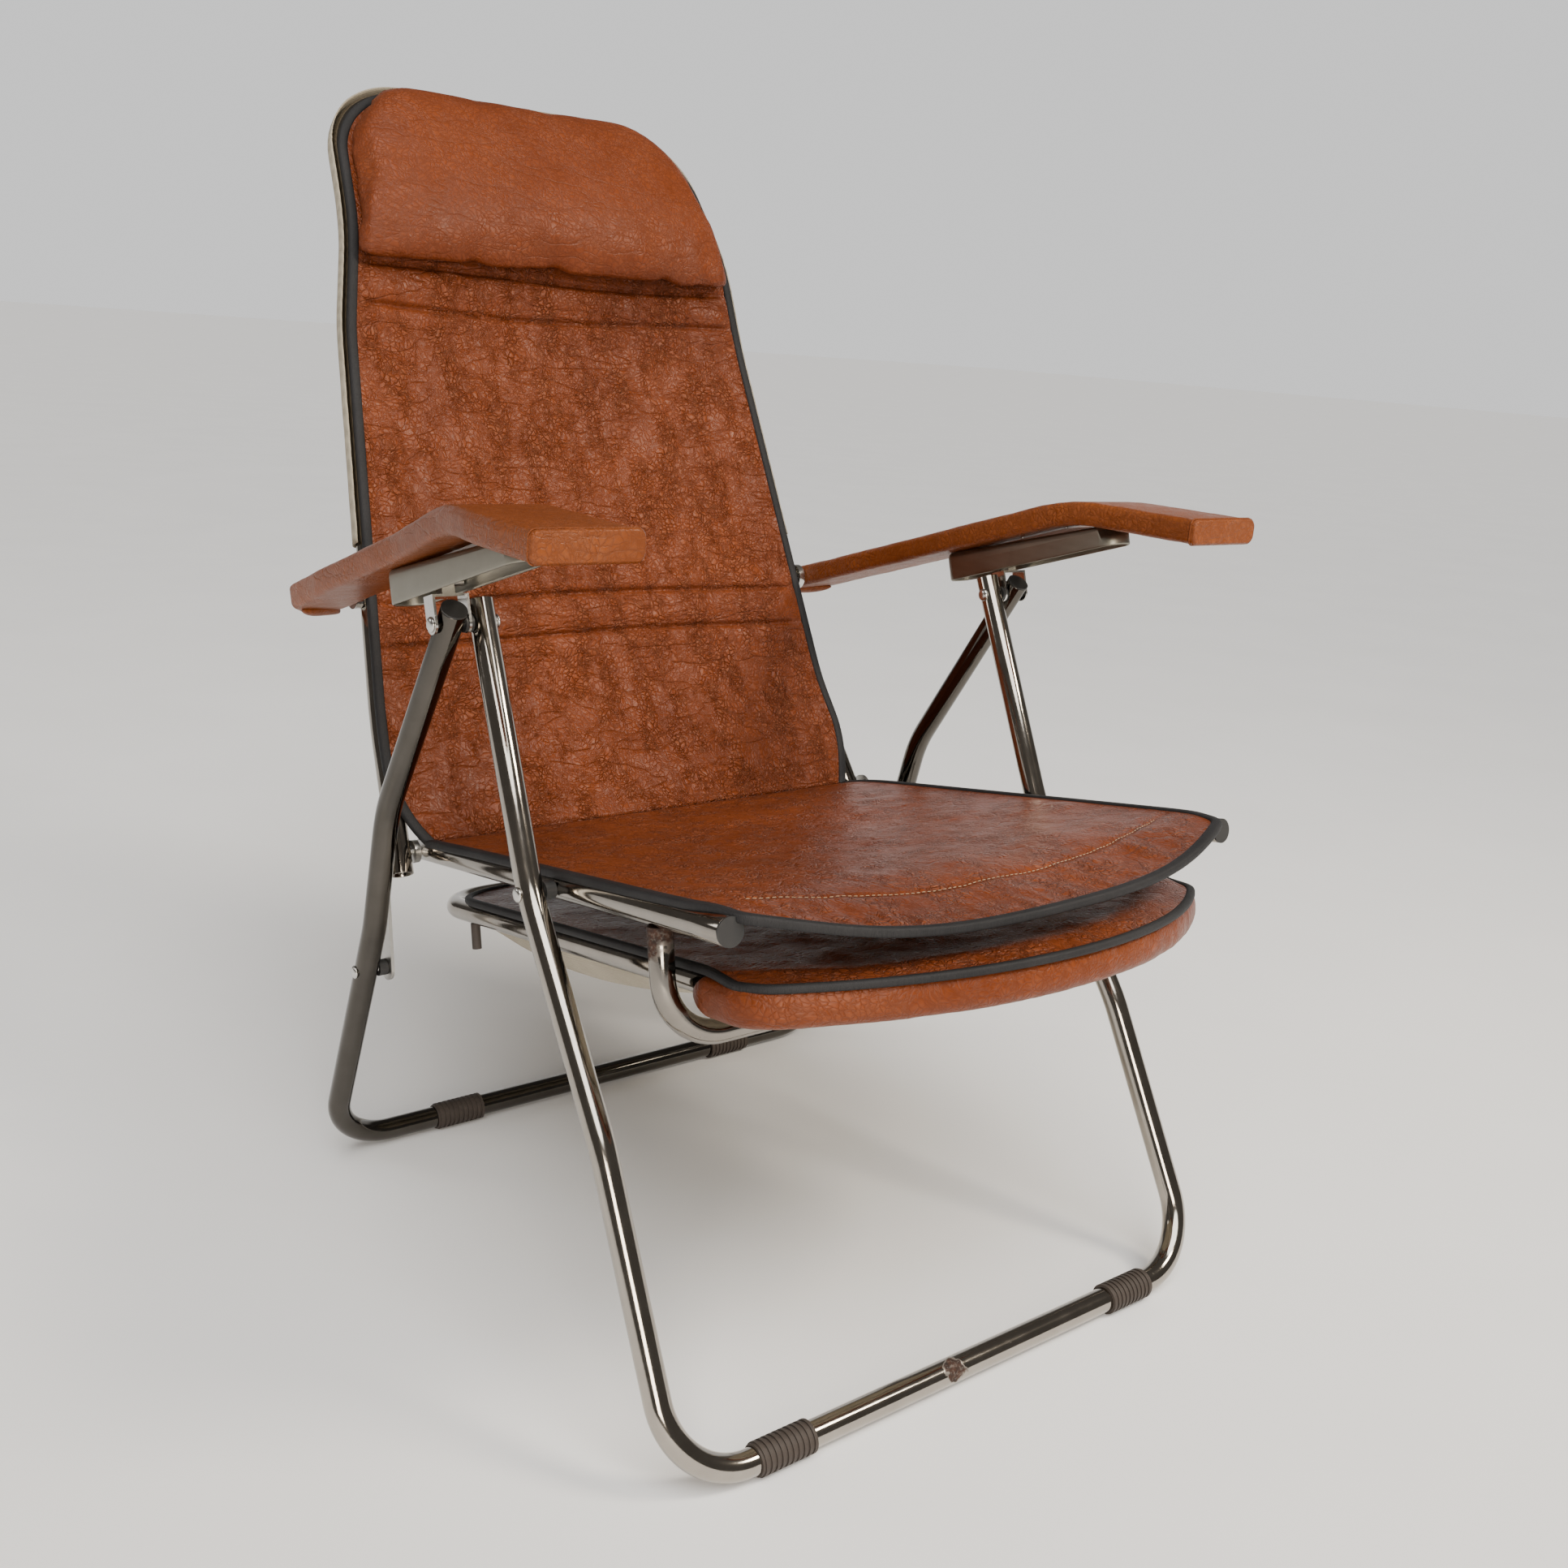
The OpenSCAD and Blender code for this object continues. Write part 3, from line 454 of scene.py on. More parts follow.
# Copies of the chrome with their colour scaled down as painted shade: darkest on the rear legs, then the
# brace and the other tubes
chrome = chrome_material("chrome", 0.03, painted_shade_scale=0.8)
shaded_rear_chrome = chrome_material("chrome_rear_legs", 0.03, painted_shade_scale=0.24)
front_chrome = chrome_material("chrome_front_legs", 0.03, at(-20, -8, 18), 0.014)
brace_chrome = chrome_material("chrome_brace", 0.12, at(-241, 112, 378), 0.034, 0.65)
vinyl = vinyl_material("vinyl_crinkled", DARK_BROWN, LIT_BROWN, 1.0)
vinyl_smooth = vinyl_material("vinyl_head", DARK_BROWN, LIT_BROWN, 0.42, 0.40, False)
vinyl_band = vinyl_material("vinyl_band", (0.135, 0.028, 0.0065), (0.215, 0.050, 0.0120), 0.40, 0.36, False)
# painted light: the armrests get a lighter, more orange copy of the brown vinyl so they stand out lit against
# the back
vinyl_arm_painted_light = vinyl_material("vinyl_arm_painted_light", (0.180, 0.046, 0.0110), (0.280, 0.076, 0.0190), 0.45, 0.38, False)
binding = cloth_material("binding_tape", (0.010, 0.010, 0.011), (0.026, 0.025, 0.026), 0.0009, 0.62, 0.35)
canvas = cloth_material("canvas", (0.300, 0.265, 0.205), (0.470, 0.420, 0.330), 0.0015)
thread = cloth_material("thread", (0.34, 0.22, 0.13), (0.50, 0.36, 0.24), 0.0004, 0.8, 0.2)
zinc = satin_material("zinc_bright", (0.42, 0.41, 0.39), (0.78, 0.77, 0.74), 0.24, 1.0)
strip = satin_material("strip_steel", (0.30, 0.29, 0.27), (0.58, 0.57, 0.54), 0.34, 1.0)
nickel = satin_material("nickel_dull", (0.17, 0.16, 0.13), (0.32, 0.30, 0.25), 0.40, 1.0, 0.15, (120, 8, 120))
plastic = satin_material("plastic_black", (0.012, 0.012, 0.012), (0.030, 0.029, 0.028), 0.50, 0.0, 0.2,
                         (200, 200, 200))
rubber = satin_material("sleeve_rubber", (0.020, 0.015, 0.012), (0.060, 0.045, 0.036), 0.68, 0.0, 0.5,
                        (260, 260, 260))
wood = satin_material("arm_board", (0.30, 0.18, 0.09), (0.46, 0.31, 0.17), 0.6, 0.0, 0.3, (180, 14, 180))


# ---- Chromed tubes ----
FRONT_LOW_X, FRONT_TOP_X, REAR_X = 270, 262, 289.0


def x_at(z):
    """Half the width of the front legs at a height."""
    return FRONT_LOW_X + (FRONT_TOP_X - FRONT_LOW_X) * (z - BAR_Z) / (TOP_PIVOT[1] - BAR_Z)


def loop(side):
    """Both sides of a loop, from the left end to the right; side runs from the middle to the right end."""
    return [(-p[0], p[1], p[2]) for p in side[::-1]] + list(side)


def chromed(name, body, node, path, r=TUBE_R, material=chrome, depth=22.0):
    finish_piece(chrome_tube(name, path, r, material, depth), body, "chrome_tube", node)


front_end = TOP_PIVOT + unit(TOP_PIVOT - SEAT_PIVOT) * 17
front_side = [(x_at(q[1]), q[0], q[1]) for q in ((0, BAR_Z), FRONT_SHIN, SEAT_PIVOT, front_end)]
front_path = fillet(loop(front_side), [160, 160, 60, 60, 160, 160])
chromed("front_legs_chrome", "front_legs", "front_leg_frame", front_path, material=front_chrome)

rear_end = TOP_PIVOT + unit(TOP_PIVOT - REAR_SHOULDER) * 13
rear_side = [(REAR_X, q[0], q[1]) for q in ((REAR_BAR_Y, BAR_Z), REAR_KNEE, REAR_SHOULDER, rear_end)]
rear_path = fillet(loop(rear_side), [120, 120, 60, 60, 120, 120])
chromed("rear_legs_chrome", "rear_legs", "rear_leg_frame", rear_path, material=shaded_rear_chrome)

rails = []
for s in (-1, 1):
    ends = [rail_point(-10) * (s, 1, 1), rail_point(SEAT_LEN) * (s, 1, 1)]
    rails.append(chrome_tube("rail", resample(ends, 30), TUBE_R, chrome))
finish_piece(join("seat_rails_chrome", rails), "seat", "chrome_tube", "seat_rails")

BRACE_D, BRACE_DROP = 393.0, 90.0
brace_side = [rail_point(BRACE_D, -BRACE_DROP), rail_point(BRACE_D, -TUBE_R + 1)]
brace_path = fillet(loop(brace_side), [45, 45])
chromed("brace_chrome", "seat", "seat_brace", brace_path, THIN_R, brace_chrome, 2.0)

back_low = BACK_PIVOT - unit(WAIST - BACK_PIVOT) * 19
back_side = [(254.5, *back_low), (WAIST_X, *WAIST), (NECK_X, *NECK), (ROLL_X, *ROLL), (CROWN_X, *CROWN)]
back_path = fillet(loop(back_side[::-1]), [260, 260, 150, CORNER_R, CORNER_R, 150, 260, 260])
chromed("back_chrome", "back", "back_frame", back_path)

FOOT_DROP, FOOT_X, FOOT_REAR, FOOT_FRONT, FOOT_BOW = 50.0, 215.0, -8.0, 450.0, 75.0


def foot_point(x, d, h=0.0):
    y, z = on_rail(d, -FOOT_DROP + h)
    return np.array([x, y, z])


foot_corners = [(0.01, FOOT_REAR), (FOOT_X, FOOT_REAR), (FOOT_X, FOOT_FRONT)]
foot_corners += [(FOOT_X * 0.45, FOOT_FRONT + FOOT_BOW)]
foot_side = [foot_point(*c) for c in foot_corners]
foot_path = fillet(loop(foot_side[::-1]), [45, 90, 120, 120, 90, 45])
chromed("footrest_chrome", "footrest", "footrest_frame", foot_path, THIN_R, chrome, 3.0)


# ---- Domed rivets and bolts ----
def revolve(name, centre, axis, profile, material, sides=40):
    """profile is a list of (distance along the axis, radius) in mm from a closed end to a closed end."""
    a = unit(axis)
    up = unit(np.cross(a, [0.3, 0.5, 0.8]))
    rings = [ring_at(centre + a * s * MM, up, np.cross(a, up), r * MM, r * MM, sides) for s, r in profile]
    return loft(name, rings, material)


def riveted(name, body, node, c, x0, x1):
    """A bolt with domed heads on each side of the chair, along X from x0 to x1, at a side-view point."""
    dome = [(-2.4, 1.0), (-2.2, 3.0), (-1.6, 4.6), (-0.8, 5.5), (0.0, 5.8), (0.1, 3.0)]
    length = x1 - x0
    profile = dome + [(length - 0.1, 3.0)] + [(length - s, r) for s, r in dome[-2::-1]]
    made = [revolve("bolt", at(s * x0, *c), (s, 0, 0), profile, zinc) for s in (-1, 1)]
    finish_piece(join(name, made), body, "bolt_steel", node)


seat_x = x_at(SEAT_PIVOT[1])
LINK_Z = 217.75
LINK_SHARE = (REAR_KNEE[1] - LINK_Z) / (REAR_KNEE[1] - BAR_Z)
LINK_PIVOT = REAR_KNEE + (np.array([REAR_BAR_Y, BAR_Z]) - REAR_KNEE) * LINK_SHARE
rail_at_f = rail_x(float((SEAT_PIVOT - BACK_PIVOT) @ SEAT_DIR))
riveted("top_rivets", "front_legs", "top_pivot_bolts", TOP_PIVOT, 252.0, 303.6)
riveted("seat_rivets", "front_legs", "seat_pivot_bolts", SEAT_PIVOT, rail_at_f - 10, seat_x + 10.1)
riveted("link_rivets", "rear_legs", "link_bolts", LINK_PIVOT, 267.8, 299.1)
riveted("back_rivets", "back_pivot", "back_pivot_bolts", BACK_PIVOT, 215.8, 263.2)


# ---- Sling: side-view lines of its front surface ----
axis_line = resample(fillet([BACK_PIVOT, WAIST, NECK, ROLL, CROWN], [260, 260, 150], 2.0), 2.0)
axis_run = np.concatenate([[0], np.cumsum(np.linalg.norm(np.diff(axis_line, axis=0), axis=1))])
axis_dir = tangents(axis_line)
BACK_RUN = float(axis_run[-1])
tube_x_line = np.interp(axis_line[:, 1], [BACK_PIVOT[1], WAIST[1], NECK[1], ROLL[1], CROWN[1]],
                        [BACK_LOW_X, WAIST_X, NECK_X, ROLL_X, CROWN_X])


def back_axis(run):
    p = np.array([np.interp(run, axis_run, axis_line[:, k]) for k in (0, 1)])
    t = unit([np.interp(run, axis_run, axis_dir[:, k]) for k in (0, 1)])
    return p, t, np.array([-t[1], t[0]])


CREASE_X = 230.0
CREASE_RUN = 2.0
FRONT_OFF = 12.0


def tube_x(run):
    """The back tubes' x at a run, leaving out their turn into the top tube."""
    return float(np.interp(back_axis(min(run, BACK_RUN))[0][1], axis_line[:, 1], tube_x_line))


def back_half(run):
    """Half width of the back cover."""
    x = tube_x(run) + 4.0
    left = BACK_RUN - run
    if left < CORNER_R:
        c, q = CORNER_R, CORNER_R - max(left, 0.0)
        x = x - c + math.sqrt(max(c * c - q * q, 0.0))
    low = max(0.0, 1 - (run - CREASE_RUN) / 75.0)
    return x - (x - CREASE_X) * low ** 1.6 if low > 0 else x


def smooth_step(a, b, x):
    t = min(1.0, max(0.0, (x - a) / (b - a)))
    return t * t * (3 - 2 * t)


def groove(x, centre, width):
    return math.exp(-(((x - centre) / width) ** 2))


def run_of_z(z):
    return float(np.interp(z, axis_line[:, 1], axis_run))


HEAD_SEAMS = (run_of_z(798), run_of_z(763))
LUMBAR_SEAMS = (run_of_z(510), run_of_z(475))


def back_point(u, run, out=0.0):
    p, _, n = back_axis(run)
    off = FRONT_OFF + 6.0 * math.exp(-(run - CREASE_RUN) / 20.0)
    inside = 1 - u * u
    body = smooth_step(40, 150, run) * smooth_step(BACK_RUN - 40, BACK_RUN - 200, run)
    off -= 9.0 * inside * body
    puff = 0.0
    for seam in (*HEAD_SEAMS, *LUMBAR_SEAMS):
        puff -= 4.6 * groove(run + 2.5 * math.sin(3 * u + seam), seam, 2.4)
    for lo, hi in (LUMBAR_SEAMS[::-1], HEAD_SEAMS[::-1]):
        mid = (lo + hi) / 2
        puff += 3.6 * groove(run, mid, (hi - lo) * 0.42)
    for seam, way in ((HEAD_SEAMS[1], -1), (LUMBAR_SEAMS[0], 1), (LUMBAR_SEAMS[1], -1)):
        puff += 2.2 * groove(run, seam + way * 12, 8) * (1 + 0.5 * math.sin(u * 21 + seam))
    spot = (u * 230, run, 0)
    wrinkle = 1.8 * fuzz(spot, 0.014, 3.0) + 1.5 * fuzz((u * 230, run * 0.22, 0), 0.06, 7.0)
    wrinkle += 0.6 * fuzz(spot, 0.10, 1.0)
    wrinkle += 2.4 * groove(run, 58, 30) * fuzz((u * 70, run * 1.6, 0), 0.05, 5.0)
    edge = smooth_step(0.0, 0.10, 1 - abs(u)) * smooth_step(CREASE_RUN, CREASE_RUN + 22, run)
    off += edge * (puff + wrinkle) + out
    half = back_half(run)
    y, z = p + n * off
    return at(u * half, y, z)


# The seat's front edge: its distance along the rails at the sides, and how much further the middle reaches
SEAT_EDGE_X, SEAT_EDGE_D, SEAT_BOW, SEAT_SEAM_V = 236.0, 483.0, 51.0, 0.885


def seat_edge_d(x):
    return SEAT_EDGE_D + SEAT_BOW * (1 - min(1.0, abs(x) / SEAT_EDGE_X) ** 2.3)


def seat_half(d):
    wider = CREASE_X + 9.0 * smooth_step(0, 70, d) + 4.0 * smooth_step(90, 420, d)
    return wider - 6.0 * smooth_step(430, 484, d)


SEAT_CREASE_D = 16.0


def seat_point(u, v, out=0.0):
    """v runs from 0 at the crease to 1 at the front edge."""
    d = SEAT_CREASE_D + (seat_edge_d(u * SEAT_EDGE_X) - SEAT_CREASE_D) * v
    x = u * seat_half(min(d, 484.0))
    inside = 1 - u * u
    h = 12.8 - 4.3 * math.exp(-(d - SEAT_CREASE_D) / 22.0)
    h -= 9.0 * inside * math.sin(math.pi * min(1.0, v)) ** 0.8
    droop = (27.0 - 4.0 * u) * smooth_step(400, 545, d) ** 1.5 * (1 - abs(u) ** 4)
    h -= droop + 3.0 * smooth_step(455, 484, d) * abs(u) ** 4
    spot = (u * 230 + 900, d, 0)
    wrinkle = 2.4 * fuzz(spot, 0.012, 5.0) + 1.5 * fuzz(spot, 0.035, 2.0) + 0.6 * fuzz(spot, 0.1, 4.0)
    wrinkle += 2.2 * smooth_step(0.86, 0.97, v) * fuzz((u * 230 * 1.5, d * 0.4, 3), 0.06, 8.0)
    ripple = 1.5 * groove(d, 38, 20) * math.sin(u * 26 + 1.5 * math.sin(d * 0.07))
    seam = -1.6 * groove(v, SEAT_SEAM_V, 0.006)
    free = smooth_step(0.0, 0.10, 1 - abs(u)) * smooth_step(0.0, 0.03, 1 - v)
    free *= smooth_step(0.0, 22.0, d - SEAT_CREASE_D)
    h += free * (wrinkle + ripple * inside + seam) + out
    return at(*rail_point(d, h, x))


def grid_shell(name, front, rear, mats):
    """A closed thin shell between two grids of points of the same shape."""
    nu, nv = len(front), len(front[0])
    verts = [p for row in front for p in row] + [p for row in rear for p in row]
    base = nu * nv
    faces, index = [], []
    for i in range(nu - 1):
        for j in range(nv - 1):
            a, b, c, d = i * nv + j, (i + 1) * nv + j, (i + 1) * nv + j + 1, i * nv + j + 1
            faces.append((a, b, c, d))
            index.append(0)
            faces.append((base + a, base + d, base + c, base + b))
            index.append(1)
    rim = [i * nv for i in range(nu)] + [(nu - 1) * nv + j for j in range(1, nv)]
    rim += [i * nv + nv - 1 for i in range(nu - 2, -1, -1)] + [j for j in range(nv - 2, 0, -1)]
    for k, a in enumerate(rim):
        b = rim[(k + 1) % len(rim)]
        faces.append((a, base + a, base + b, b))
        index.append(0)
    return make(name, verts, faces, mats, index)


SHEET_T = 4.0
us = np.linspace(-1, 1, 105)


def spread(lo, hi, gap, places=(), near=1.4, reach=13.0):
    """Values from lo to hi, set closer together near the given places."""
    values = [lo]
    while values[-1] < hi - gap / 2:
        x = values[-1]
        values.append(x + (near if any(abs(x - p) < reach for p in places) else gap))
    return np.array(values[:-1] + [hi] if values[-1] > hi - near else values + [hi])


# Back: front vinyl and canvas backing
runs = spread(CREASE_RUN, BACK_RUN - 0.6, 4.6, (*HEAD_SEAMS, *LUMBAR_SEAMS))
front_rows = [[back_point(u, r) for r in runs] for u in us]
back_out = np.array([[0, *back_axis(r)[2]] for r in runs])
rear_rows = np.array(front_rows) - back_out[None] * SHEET_T * MM
back_sling = grid_shell("back_sling", front_rows, rear_rows, [vinyl, canvas])

# Seat
vs = spread(0.0, 1.0, 0.0095, (SEAT_SEAM_V, 1.0), 0.003, 0.02)
seat_rows = [[seat_point(u, v) for v in vs] for u in us]
seat_up3 = np.array([0, *SEAT_UP])
seat_under = np.array(seat_rows) - seat_up3 * SHEET_T * MM
seat_sling = grid_shell("seat_sling", seat_rows, seat_under, [vinyl, canvas])


# ---- Binding round the sling ----
BIND_W, BIND_H = 9.0, 7.5
back_edge, back_edge_up = [], []
corner_runs = BACK_RUN - CORNER_R * (1 - np.sin(np.linspace(0.04, 1, 16) * math.pi / 2))
edge_runs = np.concatenate([np.linspace(CREASE_RUN, BACK_RUN - CORNER_R, 90), corner_runs])
edge_runs = np.minimum(edge_runs, BACK_RUN - 0.4)
left_edge = [(-1, r) for r in edge_runs]
top_edge = [(u, BACK_RUN - 0.4) for u in np.linspace(-1, 1, 40)[1:-1]]
for u, r in left_edge + top_edge + [(1, q) for _, q in left_edge[::-1]]:
    back_edge_up.append(np.array([0, *back_axis(r)[2]]))
    back_edge.append(back_point(u, r) - back_edge_up[-1] * SHEET_T * 0.5 * MM)
keep = spaced(back_edge, 0.002)
back_edge, back_edge_up = [back_edge[k] for k in keep], [back_edge_up[k] for k in keep]
back_binding = band("back_binding", back_edge, back_edge_up, BIND_W, BIND_H, binding)

corner = [(-1, v) for v in np.linspace(0, 1, 90)] + [(u, 1.0) for u in np.linspace(-1, 1, 90)[1:-1]]
corner += [(1, v) for v in np.linspace(1, 0, 90)]
seat_edge = smoothed([seat_point(u, v) - seat_up3 * SHEET_T * 0.5 * MM for u, v in corner], 3)
seat_binding = band("seat_binding", seat_edge, [seat_up3] * len(seat_edge), BIND_W, BIND_H, binding)

# The canvas pocket that the back's tubes slip into: a panel behind them and a hem round them
POCKET_Z = 556
POCKET_LOW = run_of_z(POCKET_Z)
POCKET_R, POCKET_T = 12.4, 1.2
CORNER_START = BACK_RUN - CORNER_R


def tube_half(run):
    """Half the distance between the back's tube centre lines, up to the top tube."""
    x = tube_x(run)
    if run > CORNER_START:
        x += math.sqrt(max(0.0, CORNER_R ** 2 - (run - CORNER_START) ** 2)) - CORNER_R
    return x


def behind_back(x, run, depth):
    p, t, n = back_axis(min(run, BACK_RUN))
    y, z = p + t * max(0.0, run - BACK_RUN) + n * depth
    return at(x, y, z)


def pocket_panel(extra):
    rows = []
    for u in np.linspace(-1, 1, 49):
        row = []
        for r in np.linspace(POCKET_LOW, BACK_RUN - 0.5, 76):
            inside = 1 - abs(u)
            sag = 5.0 * smooth_step(0.05, 0.6, inside) * smooth_step(BACK_RUN, BACK_RUN - 90, r)
            cloth = 1.2 * fuzz((u * 200, r, 40), 0.02) * smooth_step(0, 0.2, inside)
            row.append(behind_back(u * tube_half(r), r, sag + cloth - POCKET_R - extra))
        rows.append(row)
    return rows


hem_points = resample([(p[0], p[2]) for p in back_path[::-1] if p[0] > 0], 4.0)
hem_points = resample(hem_points[hem_points[:, 1] > POCKET_Z], 6.0)
hem_points[:, 1] = [run_of_z(z) for z in hem_points[:, 1]]
hem_line = [(x, r, dr, -dx) for (x, r), (dx, dr) in zip(hem_points, tangents(hem_points))]
hem_line += [(0.0, hem_points[-1][1], 0.0, 1.0)]
hem_line += [(-x, r, -ox, orun) for x, r, ox, orun in hem_line[-2::-1]]
hem_outer, hem_inner = [], []
for x, r, ox, orun in hem_line:
    wave = 0.4 * fuzz((x, r, 9), 0.03, 4.0)
    for rows, radius in ((hem_outer, POCKET_R + 0.5 + wave), (hem_inner, POCKET_R + 0.5 + wave - POCKET_T)):
        arc = [(radius * math.cos(a), -radius * math.sin(a)) for a in np.linspace(math.pi / 2, 0, 10)]
        offsets = [(-5.0, -radius)] + arc + [(radius, 4.0), (radius, 8.0)]
        rows.append([behind_back(x + ox * o, r + orun * o, depth) for o, depth in offsets])
panel = grid_shell("pocket_panel", pocket_panel(0.0), pocket_panel(POCKET_T), [canvas, canvas])
hem = grid_shell("pocket_hem", hem_outer, hem_inner, [canvas, canvas])
back_pocket = join("back_pocket", [panel, hem])


# ---- Soft pads: a cloth pass that swells a closed shape, then settles it ----
def swell(obj, pressure, cap, voxel, frames=20):
    """Remeshes obj, inflates it with Cloth, and moves no point further than cap millimetres."""
    scene = bpy.context.scene
    select(obj)
    re = obj.modifiers.new("remesh", "REMESH")
    re.mode, re.voxel_size, re.use_smooth_shade = "VOXEL", voxel, True
    bpy.ops.object.modifier_apply(modifier=re.name)
    start = np.array([v.co for v in obj.data.vertices])
    cl = obj.modifiers.new("cloth", "CLOTH")
    s = cl.settings
    s.quality, s.mass = 5, 0.3
    s.tension_stiffness = s.compression_stiffness = 12
    s.bending_stiffness = 0.6
    s.use_pressure, s.uniform_pressure_force = True, pressure
    s.effector_weights.gravity = 0
    cl.collision_settings.use_collision = False
    for f in range(1, frames + 1):
        scene.frame_set(f)
    grown = obj.evaluated_get(bpy.context.evaluated_depsgraph_get())
    end = np.array([v.co for v in grown.data.vertices])
    obj.modifiers.remove(cl)
    scene.frame_set(1)
    if len(end) == len(start):
        move = end - start
        length = np.linalg.norm(move, axis=1)[:, None]
        end = start + move * np.minimum(1.0, cap * MM / np.maximum(length, 1e-9))
        obj.data.vertices.foreach_set("co", end.ravel())
        obj.data.update()


def relax(obj, rounds, factor=0.5):
    b = bmesh.new()
    b.from_mesh(obj.data)
    for _ in range(rounds):
        bmesh.ops.smooth_vert(b, verts=b.verts, factor=factor,
                              use_axis_x=True, use_axis_y=True, use_axis_z=True)
    b.to_mesh(obj.data)
    b.free()


# ---- Headrest pad ----
HEAD_LOW = HEAD_SEAMS[0] + 4
HEAD_W = back_half(HEAD_LOW) - 0.5
head_top_runs = np.linspace(HEAD_LOW + 20, BACK_RUN - 1.0, 200)
head_top_halves = np.array([back_half(r) - 2.0 for r in head_top_runs])
head_rows_front, head_rows_rear = [], []
head_us = np.sin(np.linspace(-1, 1, 71) * math.pi / 2)
head_ts = (1 - np.cos(np.linspace(0, 1, 44) * math.pi)) / 2


def head_top(x):
    """The run at which the pad ends above a distance x from the middle: it stands over the top tube."""
    end = float(np.interp(abs(x), head_top_halves[::-1], head_top_runs[::-1]))
    crown = 11.0 * smooth_step(BACK_RUN - 30, BACK_RUN - 2, end) * (1 - 0.35 * (x / HEAD_W + 0.25) ** 2)
    return end + crown


for u in head_us:
    fr, rr = [], []
    x = u * HEAD_W
    top = head_top(x)
    for t in head_ts:
        run = HEAD_LOW + (top - HEAD_LOW) * t
        p, tan, n = back_axis(min(run, BACK_RUN))
        over = max(0.0, run - BACK_RUN)
        bulge = (1 - abs(u) ** 4.0) ** 0.5 * math.sin(math.pi * min(1.0, 0.12 + 0.80 * t ** 0.8)) ** 0.6
        thick = 3.0 + (27.0 + 1.5 * math.sin(4 * u)) * bulge * (1 - t ** 14)
        low = p + n * (FRONT_OFF - 1.5 - 0.3 * over) + tan * over
        high = p + n * (FRONT_OFF + thick) + tan * over
        fr.append(at(x, *high))
        rr.append(at(x, *low))
    head_rows_front.append(fr)
    head_rows_rear.append(rr)
headrest = grid_shell("headrest", head_rows_front, head_rows_rear, [vinyl_smooth, vinyl_smooth])
swell(headrest, 4.0, 7.0, 0.005)
relax(headrest, 2)
p_low, t_low, n_low = back_axis(HEAD_LOW)
n_low3, t_low3 = np.array([0, *n_low]), np.array([0, *t_low])
origin = at(0, *p_low)
for v in headrest.data.vertices:
    q = np.array(v.co) - origin
    along, out = float(q @ t_low3) / MM, float(q @ n_low3) / MM
    x = v.co.x / MM
    # the lower edge droops over the seam, with a tuck near the middle and one to each side
    roll = smooth_step(38, 2, along) * smooth_step(14, 32, out)
    tucks = sum(groove(x, c, 9.0) for c in (-92.0, -6.0, 118.0))
    down = roll * (10.0 - 5.0 * tucks + 2.5 * fuzz((x, 0, 4), 0.02, 3.0))
    crumple = smooth_step(70, 0, along) * 1.8 * fuzz((x, along * 0.4, 9), 0.07, 2.0)
    crumple += 1.2 * fuzz((x, along, 3), 0.03, 6.0)
    push = -t_low3 * down * MM + n_low3 * (crumple * smooth_step(12, 20, out)) * MM
    v.co = Vector(np.array(v.co) + push)
headrest.data.polygons.foreach_set("use_smooth", np.full(len(headrest.data.polygons), True))
headrest.data.transform(Matrix.Translation((-0.003, 0.0, 0.0)))
finish_piece(headrest, "back", "brown_vinyl", "headrest_pad")


# ---- Armrests ----
ARM_T = 20.0
# Distance forward along the slope, and the inner and outer x there
ARM_PLAN = np.array([(-26, 252, 288), (0, 250, 304), (80, 252, 312), (250, 257, 318), (350, 261, 330),
                     (420, 264, 342), (460, 264.5, 344.5), (540, 264.5, 344.5)], float)
CURVE_START, CURVE_R, FLAT_L = 340.0, 220.0, 106.0


def arm_line(s):
    """The armrest's centre line at path distance s, in its own slope frame: [forward, up] and the tilt."""
    bend = CURVE_R * ARM_SLOPE
    if s < CURVE_START:
        return np.array([s, 0.0]), 0.0
    if s < CURVE_START + bend:
        a = (s - CURVE_START) / CURVE_R
        return np.array([CURVE_START + CURVE_R * math.sin(a), -CURVE_R * (1 - math.cos(a))]), a
    rest = s - CURVE_START - bend
    end = np.array([CURVE_START + CURVE_R * math.sin(ARM_SLOPE), -CURVE_R * (1 - math.cos(ARM_SLOPE))])
    return end + rest * np.array([math.cos(ARM_SLOPE), -math.sin(ARM_SLOPE)]), ARM_SLOPE


def arm_to_frame(x, s, h):
    """x across, s forward along the slope and h up from it, to the frame."""
    c, d = math.cos(ARM_SLOPE), math.sin(ARM_SLOPE)
    y = ARM_PIVOT[0] - s * c + h * d
    z = ARM_PIVOT[1] + s * d + h * c
    return at(x, y, z)


def rounded_box(x0, x1, t, r, per=7):
    """Ring of (x, h) points for a section x0..x1 by t with rounded corners."""
    r = min(r, t / 2 - 0.2, (x1 - x0) / 2 - 0.2)
    out = []
    high, low = t / 2 - r, -t / 2 + r
    for cx, cy, a0 in ((x1 - r, high, 0), (x0 + r, high, 90), (x0 + r, low, 180), (x1 - r, low, 270)):
        for k in range(per):
            a = math.radians(a0 + 90 * k / (per - 1))
            out.append((cx + r * math.cos(a), cy + r * math.sin(a)))
    return out


ARM_END = CURVE_START + CURVE_R * ARM_SLOPE + FLAT_L


